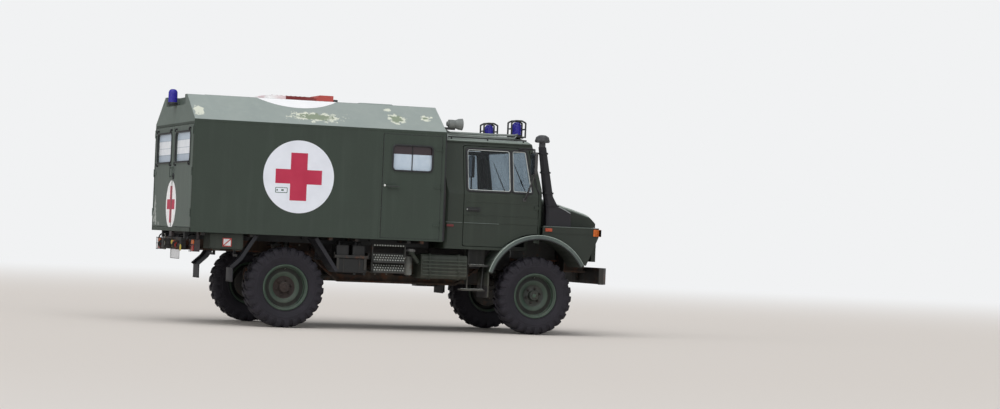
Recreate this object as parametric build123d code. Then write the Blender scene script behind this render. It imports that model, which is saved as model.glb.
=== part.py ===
"""Military ambulance truck: cranked ladder frame on portal axles, two-seat cab, hollow ambulance box.

Frame: +X forward, +Y left, +Z up, millimetres. The origin lies on the ground under the middle of the truck.
"""

from build123d import *
from math import cos, pi, radians, sin, tan
import os

# Driving dimensions of the whole truck
overall_length = 5640
wheelbase = 3250
track = 1860
tyre_radius = 494
tyre_width = 310
front_end = overall_length / 2
rear_end = -overall_length / 2
front_axle_x = 1765
rear_axle_x = front_axle_x - wheelbase
axle_z = tyre_radius
wheel_y = track / 2
gap = 5

# Frame rails and axles
rail_in = 275
rail_out = 350
rail_height = 150
rail_front_z = 800
rail_mid_z = 575
rail_rear_z = 905
tube_z = 632
tube_radius = 62
kingpin_y = 690
kingpin_radius = 18
stub_radius = 45
running_clearance = 0.05

# Cab
cab_rear = 515
cab_front = 1815
cab_floor = 1050
cab_half = 1080
belt_z = 1740
gutter_z = 2405
gutter_half = 950
cab_top = 2530
panel = 50
windscreen_lean = 135
arch_radius = 650
arch_z = 569
door_rear = 757
door_front = 1760
door_sill = 1085
door_top = 2355

# Ambulance box
box_rear = -2722
box_front = 470
box_half = 1175
box_floor = 1130
bearer_depth = 35
eave_z = 2495
roof_z = 2816
roof_half = 652
wall = 45

# Front end
bonnet_rear = 1835
bonnet_nose = 2675
wing_top = 1380
wing_front = 2575
wing_inner = 805
wing_outer = 1100
lip_outer = 1150


def block(x0, x1, y0, y1, z0, z1):
    """A plain block between two corners."""
    return Pos((x0 + x1) / 2, (y0 + y1) / 2, (z0 + z1) / 2) * Box(x1 - x0, y1 - y0, z1 - z0)


def corner_arc(before, corner, after, radius):
    """Points along the arc that rounds a corner, as the ends of a few flats."""
    apex = Vector(*corner)
    back = (Vector(*before) - apex).normalized()
    on = (Vector(*after) - apex).normalized()
    half = radians(back.get_angle(on)) / 2
    centre = apex + (back + on).normalized() * (radius / sin(half))
    first = apex + back * (radius / tan(half)) - centre
    last = apex + on * (radius / tan(half)) - centre
    sweep = pi - 2 * half
    flats = max(1, round(sweep / radians(45 if radius < 20 else 30 if radius < 60 else 22.5)))
    points = []
    for step in range(flats + 1):
        on_share, back_share = sin(sweep * step / flats), sin(sweep * (1 - step / flats))
        point = centre + (first * back_share + last * on_share) * (1 / sin(sweep))
        points.append((point.X, point.Y))
    return points


def outline(points, radius=0):
    """A closed face through the points, with every corner rounded by the radius in a few flats."""
    if radius:
        corners = zip(points[-1:] + points[:-1], points, points[1:] + points[:1])
        points = [point for corner in corners for point in corner_arc(*corner, radius)]
    return make_face(Polyline(*points, close=True))


def across(face, y0, y1):
    """A side-view face, drawn in X and Z, made solid from y0 to y1."""
    return Pos(0, y1, 0) * extrude(Plane.XZ * face, amount=y1 - y0)


def along(face, x0, x1):
    """A rear-view face, drawn in Y and Z, made solid from x0 to x1."""
    return Pos(x0, 0, 0) * extrude(Plane.YZ * face, amount=x1 - x0)


def upright(face, z0, z1):
    """A plan face, drawn in X and Y, made solid from z0 to z1."""
    return Pos(0, 0, z0) * extrude(face, amount=z1 - z0)


def rectangle(u0, u1, v0, v1, radius=0):
    """A rectangle between two corners, with rounded corners."""
    return outline([(u0, v0), (u1, v0), (u1, v1), (u0, v1)], radius)


def round_bar(start, end, radius):
    """An exact cylinder from one point to another, for pins and bores."""
    run = Vector(*end) - Vector(*start)
    return Plane(origin=start, z_dir=run) * Cylinder(radius, run.length, align=(Align.CENTER, Align.CENTER, Align.MIN))


def flats_for(radius):
    """How many flats stand for a round bar."""
    return 6 if radius < 12 else 8 if radius < 27 else 12 if radius < 60 else 16 if radius < 120 else 24


def rod(start, end, radius):
    """A bar from one point to another, as a prism of flats."""
    run = Vector(*end) - Vector(*start)
    return extrude(Plane(origin=start, z_dir=run) * RegularPolygon(radius, flats_for(radius)), amount=run.length)


def ring(plane, radius, height, sides):
    """Points on a circle at a height over a plane."""
    turns = [2 * pi * side / sides for side in range(sides)]
    return [plane.from_local_coords((radius * cos(turn), radius * sin(turn), height)) for turn in turns]


def skin(rings, hollow=False, split=False):
    """A solid of flats through rings of equally many points; a hollow stack closes on its own first ring."""
    faces = []
    for low, high in zip(rings, rings[1:] + (rings[:1] if hollow else [])):
        for here in range(len(low)):
            after = (here + 1) % len(low)
            flat = [low[here], low[after], high[after], high[here]]
            faces += [flat[:3], flat[2:] + flat[:1]] if split else [flat]
    if not hollow:
        faces += [rings[0], rings[-1]]
    return Solid(Shell([Face(Wire.make_polygon(face, close=True)) for face in faces]))


def turned(profile, plane, sides, hollow=False):
    """A turned piece of flats about the plane's normal: radii and heights, from end to end or round a hollow."""
    return skin([ring(plane, radius, height, sides) for radius, height in profile], hollow)


def cross_drum(x, z, radius, y0, y1):
    """A drum that lies across the truck."""
    return rod((x, y0, z), (x, y1, z), radius)


def arc_points(x, z, radius, start, end):
    """Points on an arc in the side view, by steps of 7.5 degrees counted up from straight ahead."""
    steps = round((end - start) / 7.5)
    turns = [radians(start + step * (end - start) / steps) for step in range(steps + 1)]
    return [(x + radius * cos(turn), z + radius * sin(turn)) for turn in turns]


def arch_disc(radius, y0, y1):
    """A disc of flats about the middle of the front wheel arch."""
    return across(outline(arc_points(front_axle_x, arch_z, radius, 28, 380.5)), y0, y1)


def arch_band(inner, outer, y0, y1):
    """Part of a ring about the middle of the front wheel arch."""
    ends = 28, 163
    line = arc_points(front_axle_x, arch_z, outer, *ends) + arc_points(front_axle_x, arch_z, inner, *ends)[::-1]
    return across(outline(line), y0, y1)


def other_side(part):
    """The same piece on the other side of the truck."""
    return mirror(part, about=Plane.XZ)


def both_sides(part):
    """A piece and its mirror image."""
    return part + other_side(part)


def together(pieces):
    """Pieces joined into one."""
    joined = pieces[0]
    for piece in pieces[1:]:
        joined = joined + piece
    return joined


# Wheels
lug_count = 24
lug_pitch = 360 / lug_count
lug_share = 0.60
groove_radius = 472
groove_end = 132
rim_seat = 255
bead_radius = 256


def wheel_plane(y):
    """The plane across the wheel axis at an offset from the middle of the tread."""
    return Plane(origin=(0, y, 0), x_dir=(0, 0, -1), z_dir=(0, 1, 0))


def toothed(lug_radius, floor_radius, turn, y):
    """Points round a row of lugs and grooves; a lug's corner points straight down when the turn is zero."""
    points = []
    for lug in range(lug_count):
        start = radians(lug * lug_pitch + turn)
        end = start + radians(lug_pitch * lug_share)
        for radius, angle in ((floor_radius, start), (lug_radius, start), (lug_radius, end), (floor_radius, end)):
            points.append(wheel_plane(y).from_local_coords((radius * cos(angle), radius * sin(angle), 0)))
    return points


def tyre():
    """Cross-country tyre: two rows of staggered lugs over a round carcass, bulging side walls and open beads."""
    wall_line = [(330, 146), (420, 154), (groove_radius - 10, 130)]
    profile = [(bead_radius, -104)] + [(radius, -y) for radius, y in wall_line] + wall_line[::-1]
    profile.append((bead_radius, 104))
    core = turned([(groove_radius - 32, -200), (groove_radius - 32, 200)], wheel_plane(0), lug_count)
    rows = []
    for side, turn in ((1, 0), (-1, lug_pitch / 2)):
        row = skin([toothed(tyre_radius, groove_radius, turn, 0),
                    toothed(tyre_radius - 12, groove_radius - 8, turn, side * groove_end)])
        rows.append(row)
    return together([turned(profile, wheel_plane(0), lug_count, True)] + [row - core for row in rows])


def rim():
    """Pressed steel rim: flanges, deep well, raised ring of the disc, and the hub cover; outer side at +Y."""
    barrel = turned([(272, 124), (rim_seat, 108), (rim_seat, -108), (272, -124), (244, -112), (244, 112)],
                    wheel_plane(0), lug_count, True)
    dish = turned([(60, -35), (60, 14), (126, 14), (180, 40), (245, 34), (245, 50), (180, 58), (122, 34), (66, 34),
                   (56, 90)], wheel_plane(0), lug_count)
    bore = round_bar((0, -60, 0), (0, 50, 0), stub_radius + running_clearance)
    return barrel + dish - bore


arm_x = front_axle_x - 185
rod_eye_y = 655


def knuckle():
    """Left steering knuckle: yoke with kingpin, portal gear case, brake drum, stub and steering arm."""
    case_in, case_out = 748, 833
    case = across(outline([(-108, axle_z), (-78, axle_z - 80), (0, axle_z - 108), (78, axle_z - 80), (108, axle_z),
                           (96, tube_z + 60), (0, tube_z + 95), (-96, tube_z + 60)], 18), case_in, case_out)
    case = Pos(front_axle_x, 0, 0) * case
    yoke = block(front_axle_x - 42, front_axle_x + 42, kingpin_y - 42, case_in + 10, tube_z + 75, tube_z + 97)
    yoke += block(front_axle_x - 42, front_axle_x + 42, kingpin_y - 42, case_in + 10, tube_z - 97, tube_z - 75)
    pin = round_bar((front_axle_x, kingpin_y, tube_z - 97), (front_axle_x, kingpin_y, tube_z + 97), kingpin_radius)
    drum = cross_drum(front_axle_x, axle_z, 188, case_out - 1, wheel_y - 42)
    stub = round_bar((front_axle_x, case_out, axle_z), (front_axle_x, wheel_y + 44, axle_z), stub_radius)
    arm = upright(outline([(front_axle_x + 30, kingpin_y - 40), (front_axle_x + 30, case_in + 20),
                           (front_axle_x - 60, case_in + 10), (arm_x - 22, rod_eye_y + 22),
                           (arm_x - 22, rod_eye_y - 22), (arm_x + 25, rod_eye_y - 22)], 10),
                  tube_z - 97, tube_z - 75)
    return together([case, yoke, pin, drum, stub, arm])


def tie_rod():
    """Track rod between the two steering arms, just below them."""
    eye_z = tube_z - 118
    bar = rod((arm_x, -rod_eye_y, eye_z), (arm_x, rod_eye_y, eye_z), 16)
    eye = rod((arm_x, rod_eye_y, eye_z - 18), (arm_x, rod_eye_y, eye_z + 16), 24)
    return together([bar, eye, other_side(eye)])


neck_reach = 186
pan_height = 66


def axle(x, steered):
    """Portal axle: drive head and tube, ending in kingpin eyes in front and in gear cases and stubs at the rear."""
    head = turned([(75, -150), (125, -105), (155, -35), (155, 35), (125, 105), (75, 150)],
                  Plane(origin=(x, 60, tube_z), z_dir=(0, 1, 0)), 20)
    tube_end = kingpin_y - 30 if steered else 760
    inward = -1 if steered else 1
    neck = rod((x, 60, tube_z), (x + inward * neck_reach, 60, tube_z), 70)
    body = cross_drum(x, tube_z, tube_radius, -tube_end, tube_end) + head + neck
    pan = block(x - 66, x + 66, 392, 518, tube_z + 35, tube_z + pan_height)
    ear = block(x + 30, x + 165, 545, 575, tube_z - 40, tube_z - 8)
    body += both_sides(pan + ear)
    if steered:
        eye = rod((x, kingpin_y, tube_z - 70), (x, kingpin_y, tube_z + 70), 44)
        bore = round_bar((x, kingpin_y, tube_z - 90), (x, kingpin_y, tube_z + 90),
                         kingpin_radius + running_clearance)
        return (body + both_sides(eye)) - both_sides(bore)
    case = across(outline([(x - 108, axle_z), (x - 78, axle_z - 80), (x, axle_z - 108), (x + 78, axle_z - 80),
                           (x + 108, axle_z), (x + 96, tube_z + 60), (x, tube_z + 95), (x - 96, tube_z + 60)], 18),
                  748, 833)
    drum = cross_drum(x, axle_z, 188, 832, wheel_y - 42)
    stub = round_bar((x, 833, axle_z), (x, wheel_y + 44, axle_z), stub_radius)
    return body + both_sides(case + drum + stub)


def frame_rails():
    """Two cranked channel rails, low between the axles, joined by round cross-members."""
    rail_line = [(-2640, rail_rear_z), (-1020, rail_rear_z), (-640, rail_mid_z), (930, rail_mid_z),
                 (1240, rail_front_z), (2700, rail_front_z)]
    upper = [(x, z + rail_height) for x, z in reversed(rail_line)]
    web = across(outline(rail_line + upper, 30), rail_in, rail_out)
    groove = [(x, z + 22) for x, z in rail_line] + [(x, z - 22) for x, z in upper]
    web -= across(outline(groove), rail_in + 12, rail_out + 20)
    rails = both_sides(web)
    # columns: place along the truck, height of the tube
    for x, z in [(-2480, 980), (-1950, 980), (-1120, 980), (1640, 905), (2570, 870)]:
        rails += cross_drum(x, z, 34, -rail_in - 5, rail_in + 5)
    for x in (-480, 140, 560):
        rails += block(x - 45, x + 45, -rail_out, rail_out, rail_mid_z + rail_height - 5, rail_mid_z + rail_height + 12)
    # outriggers that carry the box on the kicked-up and the low stretches
    for x, z in [(-2380, rail_rear_z + rail_height), (-1180, rail_rear_z + rail_height),
                 (-300, rail_mid_z + rail_height), (360, rail_mid_z + rail_height)]:
        rails += both_sides(block(x - 40, x + 40, rail_in, rail_out, z - 10, box_floor - bearer_depth))
    # sub-frame beams over the low stretch, propped at their front ends
    rails += both_sides(block(-1000, 1100, rail_in, rail_out, 955, 1040))
    return rails + both_sides(block(1050, 1100, rail_in, rail_out, 790, 1000))


tow_bore = 16
tow_pin_x = front_end - 24


def bumper():
    """Deep steel channel bumper with raked ends, and the tow pin in its jaw."""
    plan = outline([(2590, 1135), (2650, 1135), (front_end - 50, 900), (front_end - 50, -900), (2650, -1135),
                    (2590, -1135), (2590, -1105), (2635, -1105), (2700, -870), (2700, 870), (2635, 1105),
                    (2590, 1105)])
    beam = upright(plan, 665, 875)
    jaw = block(2660, front_end, -70, 70, 700, 840)
    throat = block(2770, front_end + 10, -80, 80, 735, 805)
    pin_bore = round_bar((tow_pin_x, 0, 690), (tow_pin_x, 0, 850), tow_bore)
    return (beam + jaw) - throat - pin_bore


def tow_beam():
    """Rear cross-beam with the drum-shaped tow jaw and two lashing eyes."""
    beam = block(-2700, -2640, -560, 560, 905, 1055)
    neck = rod((-2700, 0, 975), (-2745, 0, 975), 62)
    jaw = block(-2815, -2735, -62, 62, 915, 1035) - block(-2830, -2752, -80, 80, 950, 1000)
    bore = round_bar((-2785, 0, 900), (-2785, 0, 1050), tow_bore)
    body = (beam + neck + jaw) - bore
    for y in (-430, 430):
        eye = turned([(58, 9), (58, -9), (30, -9), (30, 9)], Plane(origin=(-2728, y, 960), z_dir=(0, 1, 0)), 12, True)
        body += eye - block(-2699, -2600, y - 20, y + 20, 850, 1050)
    return body


def suspension():
    """Coil springs with their seats on the frame, telescopic dampers and cross links, at all four corners."""
    pieces = []
    # columns: axle place, underside of the rail there
    for x, rail_z in [(front_axle_x, rail_front_z), (rear_axle_x, rail_rear_z)]:
        top = rail_z + 100
        coil = rod((x, 455, tube_z + pan_height), (x, 455, top), 58)
        seat = block(x - 80, x + 80, rail_out, 525, top, top + 16)
        rib = block(x - 12, x + 12, rail_out, 520, top + 10, rail_z + rail_height)
        damper_low = rod((x + 135, 560, tube_z), (x + 135, 500, top - 60), 30)
        damper_top = rod((x + 135, 512, top - 120), (x + 135, 466, top + 40), 20)
        ear = block(x + 120, x + 150, rail_out, 480, top + 20, top + 50)
        pieces.append(both_sides(together([coil, seat, rib])))
        pieces.append(both_sides(together([damper_low, damper_top, ear])))
    return Compound(children=[solid for piece in pieces for solid in piece.solids()])


def driveline():
    """Gearbox with ball joints and the two torque tubes that run to the axle heads."""
    gearbox = along(rectangle(-190, 190, 590, 1000, 50), 700, 1380)
    low = 632
    front_tube = rod((1370, 60, low + 20), (front_axle_x - neck_reach - 8, 60, tube_z), 56)
    rear_tube = rod((710, 0, low), (rear_axle_x + neck_reach + 8, 60, tube_z), 56)
    balls = rod((1370, 60, low + 20), (1440, 60, low + 20), 84) + rod((690, 0, low), (650, 0, low), 84)
    return together([gearbox, balls, front_tube, rear_tube])


def engine():
    """The engine as one heavy block between the rails, over the front axle."""
    return along(rectangle(-255, 255, 830, 1410, 60), 1860, 2470)


def exhaust():
    """Silencer on the left with its pipes."""
    can = rod((-330, 560, 800), (330, 560, 800), 105)
    inlet = rod((330, 560, 800), (690, 420, 800), 30) + rod((690, 420, 800), (760, 200, 800), 30)
    outlet = rod((-330, 560, 800), (-540, 640, 745), 30) + rod((-540, 640, 745), (-600, 1040, 740), 30)
    return together([can, inlet, outlet])


def fuel_tank():
    """Ribbed steel tank on the right, with two straps and the filler neck behind it."""
    body = along(rectangle(-1060, -700, 665, 967, 45), 242, 844)
    for z in (740, 790, 840, 890):
        body += block(262, 824, -1067, -1050, z - 9, z + 9)
    for x in (340, 720):
        body += along(rectangle(-1070, -692, 657, 975, 50), x, x + 34)
        body += block(x, x + 34, -700, -rail_in - 12, 675, 700)
    neck = rod((215, -1010, 860), (120, -1030, 975), 26) + rod((240, -990, 850), (215, -1010, 860), 26)
    cap = rod((124, -1029, 970), (106, -1033, 1000), 42)
    return together([body, neck, cap])


def side_gear():
    """Battery box and filter on the right, twin air reservoirs on the left, each on its bracket."""
    battery = along(rectangle(-1055, -760, 700, 885, 15), -850, -465) + block(-862, -450, -1065, -750, 885, 905)
    bearers = [block(x, x + 30, -1040, -rail_in - 12, 678, 700) for x in (-625, -500)]
    filter_can = rod((122, -900, 700), (122, -900, 930), 46) + block(112, 132, -900, -rail_in - 12, 678, 702)
    tanks = [rod((-840, y, 900), (-440, y, 900), 95) for y in (790, 1000)]
    cradle = [block(x, x + 40, 540, 1060, 985, 1000) for x in (-790, -560)]
    posts = [block(x, x + 40, 540, 580, 995, box_floor) for x in (-790, -560)]
    canisters = [upright(rectangle(x, x + 170, -1035, -800, 28), 900, 1040) for x in (-855, -645)]
    right = [together([battery] + bearers + canisters), filter_can]
    left = [together(tanks + cradle + posts)]
    return Compound(children=[solid for piece in right + left for solid in piece.solids()])


def cab_steps():
    """Below each cab door: a step well of folded sheet, and a lower tread that hangs from it on two bars."""
    back = block(862, 1130, 868, 878, 845, cab_floor)
    upper = block(862, 1118, 868, 1080, 835, 860)
    cheek = block(862, 870, 870, 1040, 850, cab_floor)
    bars = [rod((888, 960, 840), (868, 1000, 545), 9), rod((1090, 960, 840), (1060, 1000, 545), 9)]
    lower = block(784, 1078, 900, 1090, 530, 552)
    return both_sides(together([back, upper, cheek, lower] + bars))


guard_depth = 45


def guard(line, flange_side):
    """A bent guard over the left rear wheel: sheet along the side-view line, with a deep flange on its outer edge."""
    sheet = outline(line + [(x, z + 8) for x, z in reversed(line)])
    flange = outline(line + [(x + flange_side * guard_depth * 0.8, z + guard_depth * 0.6) for x, z in reversed(line)])
    return across(sheet, 790, 1120) + across(flange, 1112, 1120)


def mudguards():
    """Rear mudguards: bent strips before and behind each rear wheel, hung from the box floor, with rubber flaps."""
    rear_line = [(-1871, 1098), (-2053, 811), (-2169, 704)]
    front_line = [(-1155, 1098), (-878, 705)]
    flap = block(-2175, -2161, 800, 1110, 545, 712)
    strut = block(-2045, -2015, 560, 800, 845, 875)
    brace = block(-1004, -968, 560, 800, 845, 875)
    up = [block(x, x + 30, 560, 590, 845, box_floor) for x in (-2045, -1001)]
    side = [together([guard(rear_line, -1), flap, strut, up[0]]), together([guard(front_line, 1), brace, up[1]])]
    pieces = side + [other_side(piece) for piece in side]
    return Compound(children=[solid for piece in pieces for solid in piece.solids()])


def cab_block(inset):
    """The cab's outer form, drawn in by the inset: rear view, side view and plan cut from one another."""
    half, top_half = cab_half - inset, gutter_half - inset
    low = cab_floor + inset
    crown = [
        Line((-half, low), (half, low)),
        Line((half, low), (half, belt_z)),
        Line((half, belt_z), (top_half, gutter_z)),
        ThreePointArc((top_half, gutter_z), (0, cab_top - inset), (-top_half, gutter_z)),
        Line((-top_half, gutter_z), (-half, belt_z)),
        Line((-half, belt_z), (-half, low)),
    ]
    rear_view = make_face(crown)
    rise = cab_top + 60 - belt_z
    top_x = cab_front - windscreen_lean * rise / (gutter_z - belt_z)
    side_view = outline([(cab_rear + inset, low), (cab_rear + inset, cab_top + 60), (top_x - inset, cab_top + 60),
                         (cab_front - inset, belt_z), (cab_front - inset, low)])
    plan = rectangle(cab_rear + inset, cab_front - inset, -half, half, 70 - inset / 2)
    body = along(rear_view, cab_rear - 10, cab_front + 10) & across(side_view, -cab_half - 10, cab_half + 10)
    return body & upright(plan, low - 10, cab_top + 70)


def cab_wall(outer, inner):
    """The part of the cab's walls between two depths."""
    return cab_block(outer) - cab_block(inner)


def door_outline(shrink):
    """Side view of a cab door, drawn in by the shrink; its front edge leans back with the windscreen."""
    return outline([(door_rear + shrink, door_sill + shrink), (door_front - shrink, door_sill + shrink),
                    (door_front - shrink, belt_z), (door_front - 122 - shrink, door_top - shrink),
                    (door_rear + shrink, door_top - shrink)], 25)


def door_panes():
    """Side views of the two panes of a cab door: the main window and the quarter light."""
    main = outline([(805, 1785), (1381, 1785), (1381, 2312), (805, 2312)], 42)
    quarter = outline([(1405, 1785), (1668, 1785), (1592, 2312), (1405, 2312)], 30)
    return [main, quarter]


def windscreen_outline(shrink):
    """Front view of the windscreen."""
    return outline([(-935 + shrink, 1800 + shrink), (935 - shrink, 1800 + shrink),
                    (850 - shrink, 2325 - shrink), (-850 + shrink, 2325 - shrink)], 60)


cab_hatch = (-420, 420, 1720, 2120)


def cab_shell():
    """Welded steel cab: walls, floor, crowned roof and gutters, with door, window and wheel openings cut."""
    shell = cab_wall(0, panel)
    shell -= across(door_outline(0), -1200, -880) + across(door_outline(0), 880, 1200)
    wheelhouse = arch_disc(arch_radius + 22, 560, 1200)
    shell -= both_sides(wheelhouse)
    shell -= along(windscreen_outline(0), 1560, 1900)
    shell -= along(rectangle(*cab_hatch, 50), cab_rear - 20, cab_rear + 80)
    gutter = along(rectangle(gutter_half - 6, gutter_half + 16, gutter_z - 14, gutter_z + 10), cab_rear + 30, 1655)
    return shell + both_sides(gutter)


def cab_glass():
    """Windscreen and rear pane of the cab, each set in the middle of its wall."""
    front = cab_wall(18, 26) & along(windscreen_outline(1), 1600, 1860)
    rear = block(cab_rear + 20, cab_rear + 26, cab_hatch[0] + 1, cab_hatch[1] - 1, cab_hatch[2] + 1, cab_hatch[3] - 1)
    rear &= along(rectangle(cab_hatch[0] + 1, cab_hatch[1] - 1, cab_hatch[2] + 1, cab_hatch[3] - 1, 49),
                  cab_rear, cab_rear + 60)
    return Compound(children=[*front.solids(), *rear.solids()])


def cab_door():
    """Left cab door: the panel cut from the cab's own wall, cleared over the wheel arch, with swage and handle."""
    door = cab_wall(0, panel) & across(door_outline(8), 880, 1200)
    door -= arch_disc(arch_radius + 56, 800, 1200)
    for pane in door_panes():
        door -= across(pane, 850, 1250)
    swage = across(rectangle(door_rear + 8, door_front - 8, 1385, 1472, 6), cab_half - 1, cab_half + 6)
    swage &= across(door_outline(8), 880, 1200)
    handle = across(rectangle(812, 972, 1538, 1566, 12), cab_half + 20, cab_half + 32)
    posts = block(820, 845, cab_half - 1, cab_half + 22, 1544, 1560) + block(940, 965, cab_half - 1, cab_half + 22,
                                                                            1544, 1560)
    return together([door, swage, handle, posts])


def cab_door_glass():
    """Left door panes, set in the middle of the door."""
    slab = cab_wall(20, 26)
    panes = [slab & across(pane, 850, 1250) for pane in door_panes()]
    return Compound(children=[solid for pane in panes for solid in pane.solids()])


def mirror_head():
    """Left mirror: flat head on a bent tube that stands off the door by two feet."""
    head = along(rectangle(1180, 1345, 2010, 2300, 28), 1592, 1628)
    upper = rod((1520, 978, 2330), (1610, 1262, 2335), 9)
    spine = rod((1610, 1262, 2335), (1610, 1262, 1980), 9)
    lower = rod((1610, 1262, 1980), (1560, 1092, 1700), 9)
    feet = [block(1498, 1542, 969, 984, 2310, 2350), block(1538, 1582, cab_half, cab_half + 14, 1680, 1720)]
    return together([head, upper, spine, lower] + feet)


def wings():
    """Front wings: flat top, side skin, round wheel arch with a turned-out lip, inner liner and front corner."""
    liner = arch_band(arch_radius, arch_radius + 16, 620, wing_outer)
    lip = arch_band(arch_radius - 8, arch_radius + 42, cab_half + 2, lip_outer)
    side_skin = across(outline([(cab_front + 3, 900), (wing_front - 155, 900), (wing_front, 1260), (wing_front, wing_top),
                           (cab_front + 3, wing_top)]), wing_outer - 30, wing_outer)
    side_skin -= arch_disc(arch_radius + 2, 0, 2000)
    top = block(cab_front + 3, wing_front, wing_inner, wing_outer, wing_top - 25, wing_top)
    front = across(outline([(wing_front - 180, 900), (wing_front - 155, 900), (wing_front, 1260), (wing_front, wing_top),
                            (wing_front - 25, wing_top), (wing_front - 25, 1266)]), wing_inner, wing_outer)
    swage = block(cab_front + 3, wing_front, wing_outer - 2, wing_outer + 6, 1295, wing_top - 1)
    inner = across(outline([(cab_front + 3, 1120), (2500, 1120), (2500, wing_top), (cab_front + 3, wing_top)]),
                   wing_inner, wing_inner + 20)
    inner -= arch_disc(arch_radius + 2, 0, 2000)
    flap = block(front_axle_x - 660, front_axle_x - 642, 700, 1110, 460, arch_z + 195)
    side = together([liner, lip, side_skin, top, front, swage, inner, flap])
    return Compound(children=[*side.solids(), *other_side(side).solids()])


def bonnet_block(inset):
    """The bonnet's outer form, drawn in by the inset: side view and plan cut from one another."""
    side_view = outline([(bonnet_rear + inset, wing_top + 6 - inset * 2), (bonnet_rear + inset, 1742 - inset),
                         (2560, 1545 - inset), (bonnet_nose - inset, 1440), (bonnet_nose - inset, wing_top + 6 - inset * 2)])
    plan = outline([(bonnet_rear + inset, 800 - inset), (2300, 790 - inset), (bonnet_nose - inset, 700 - inset),
                    (bonnet_nose - inset, -700 + inset), (2300, -790 + inset), (bonnet_rear + inset, -800 + inset)])
    body = across(side_view, -900, 900) & upright(plan, wing_top - 90, 1800)
    edges = body.edges().filter_by(lambda edge: edge.center().Z > 1445 - inset and abs(edge.center().Y) > 600)
    return fillet(edges.filter_by(lambda edge: abs(edge.tangent_at(0.5).X) > 0.8), 55)


def bonnet():
    """Bonnet lid with side skirts, open below, hinged at the windscreen, with a grab handle."""
    lid = bonnet_block(0) - bonnet_block(22)
    lid -= block(bonnet_rear - 10, bonnet_rear + 40, -770, 770, 1200, 1700)
    ridge = across(outline([(1960, 1702), (2540, 1545), (2540, 1560), (1960, 1722)]), -260, 260)
    return lid + ridge


def grille():
    """Front panel between the wings: slatted radiator opening and two round lamp bowls."""
    front = block(2600, 2655, -wing_inner + 3, wing_inner - 3, rail_front_z + rail_height, wing_top - 2)
    front -= block(2590, 2670, -520, 520, 1000, 1330)
    for y in (-660, 660):
        front -= rod((2620, y, 1150), (2700, y, 1150), 112)
    for level in range(8):
        z = 1024 + level * 40
        front += across(outline([(2612, z), (2650, z - 10), (2650, z - 2), (2612, z + 8)]), -525, 525)
    for y in (-260, 0, 260):
        front += block(2606, 2618, y - 8, y + 8, 995, 1335)
    return front


def front_lamps():
    """Headlamps in their bowls, corner indicators and side repeaters."""
    head = turned([(104, 0), (104, 30), (60, 44)], Plane(origin=(2622, 660, 1150), z_dir=(1, 0, 0)), 16)
    corner = block(wing_front, wing_front + 26, 930, 1085, 1275, 1360)
    repeater = across(rectangle(1850, 1930, 1318, 1350, 14), wing_outer + 6, wing_outer + 24)
    pieces = [head, corner, repeater]
    pieces += [other_side(piece) for piece in pieces]
    return Compound(children=[solid for piece in pieces for solid in piece.solids()])


def snorkel_section(x, z, length, width, corner):
    """A level section of the intake: a rectangle with its corners cut off."""
    a, b = length / 2, width / 2
    points = [(a - corner, -b), (a, corner - b), (a, b - corner), (a - corner, b),
              (corner - a, b), (-a, b - corner), (-a, corner - b), (corner - a, -b)]
    return [Vector(x + dx, -985 + dy, z) for dx, dy in points]


def snorkel():
    """Raised air intake: flat foot on the wing, slender duct that leans back along the windscreen, round cap."""
    # columns: height, middle along the truck, length, width, corner
    stations = [(wing_top, 2050, 342, 150, 26), (1560, 2046, 330, 140, 26), (1640, 1955, 160, 124, 30),
                (1760, 1908, 122, 112, 32), (2380, 1806, 92, 92, 27)]
    duct = skin([snorkel_section(x, z, length, width, corner) for z, x, length, width, corner in stations],
                split=True)
    neck = rod((1806, -985, 2375), (1803, -985, 2450), 40)
    cap = turned([(84, 2440), (90, 2466), (78, 2506), (40, 2530)], Plane(origin=(1803, -985, 0)), 16)
    return together([duct, neck, cap])


beacon_places = [(1600, -560, 2504), (1600, 560, 2504), (-2762, 0, 2702)]


def beacons():
    """Blue domed beacons: two on the cab roof and one at the rear of the box."""
    profile = [(56, 30), (56, 150), (46, 178), (20, 196)]
    domes = [turned(profile, Plane(origin=place), 16) for place in beacon_places]
    return Compound(children=domes)


def roof_fittings():
    """Beacon feet and wire guards, the rear beacon tray, the horn at the box front and the cab roof rails."""
    pieces = []
    for x, y, z in beacon_places[:2]:
        foot = rod((x, y, z), (x, y, z + 30), 62) + block(x - 90, x + 90, y - 16, y + 16, z - 12, z)
        cage = [foot, block(x - 9, x + 9, y - 80, y + 80, z, z + 10)]
        loop = outline([(x - 101, z), (x + 101, z), (x + 103, z + 190), (x + 48, z + 218), (x - 48, z + 218),
                        (x - 103, z + 190)])
        loop -= outline([(x - 87, z + 12), (x + 87, z + 12), (x + 87, z + 180), (x + 44, z + 202),
                         (x - 44, z + 202), (x - 87, z + 180)])
        cage += [across(loop, loop_y - 7, loop_y + 7) for loop_y in (y - 72, y + 72)]
        cage += [block(x + dx - 6, x + dx + 6, y - 72, y + 72, z + 204, z + 216) for dx in (-40, 40)]
        pieces.append(together(cage))
    x, y, z = beacon_places[2]
    tray = block(rear_end, -2600, -75, 75, z - 12, z) + rod((x, y, z - 2), (x, y, z + 30), 50)
    pieces.append(tray)
    horn = turned([(30, 552), (30, 575), (52, 576), (52, 650), (44, 656), (66, 712)],
                  Plane(origin=(0, -900, 2615), z_dir=(1, 0, 0)), 12)
    horn += block(box_front, 660, -912, -888, 2540, 2570)
    pieces.append(horn)
    for side in (-1, 1):
        y = side * (gutter_half + 6)
        rail = rod((560, y, gutter_z + 50), (1600, y, gutter_z + 46), 9)
        posts = [block(x - 8, x + 8, y - 7, y + 7, gutter_z + 10, gutter_z + 46) for x in (600, 1080, 1560)]
        pieces.append(together([rail] + posts))
    return Compound(children=[solid for piece in pieces for solid in piece.solids()])


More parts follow.
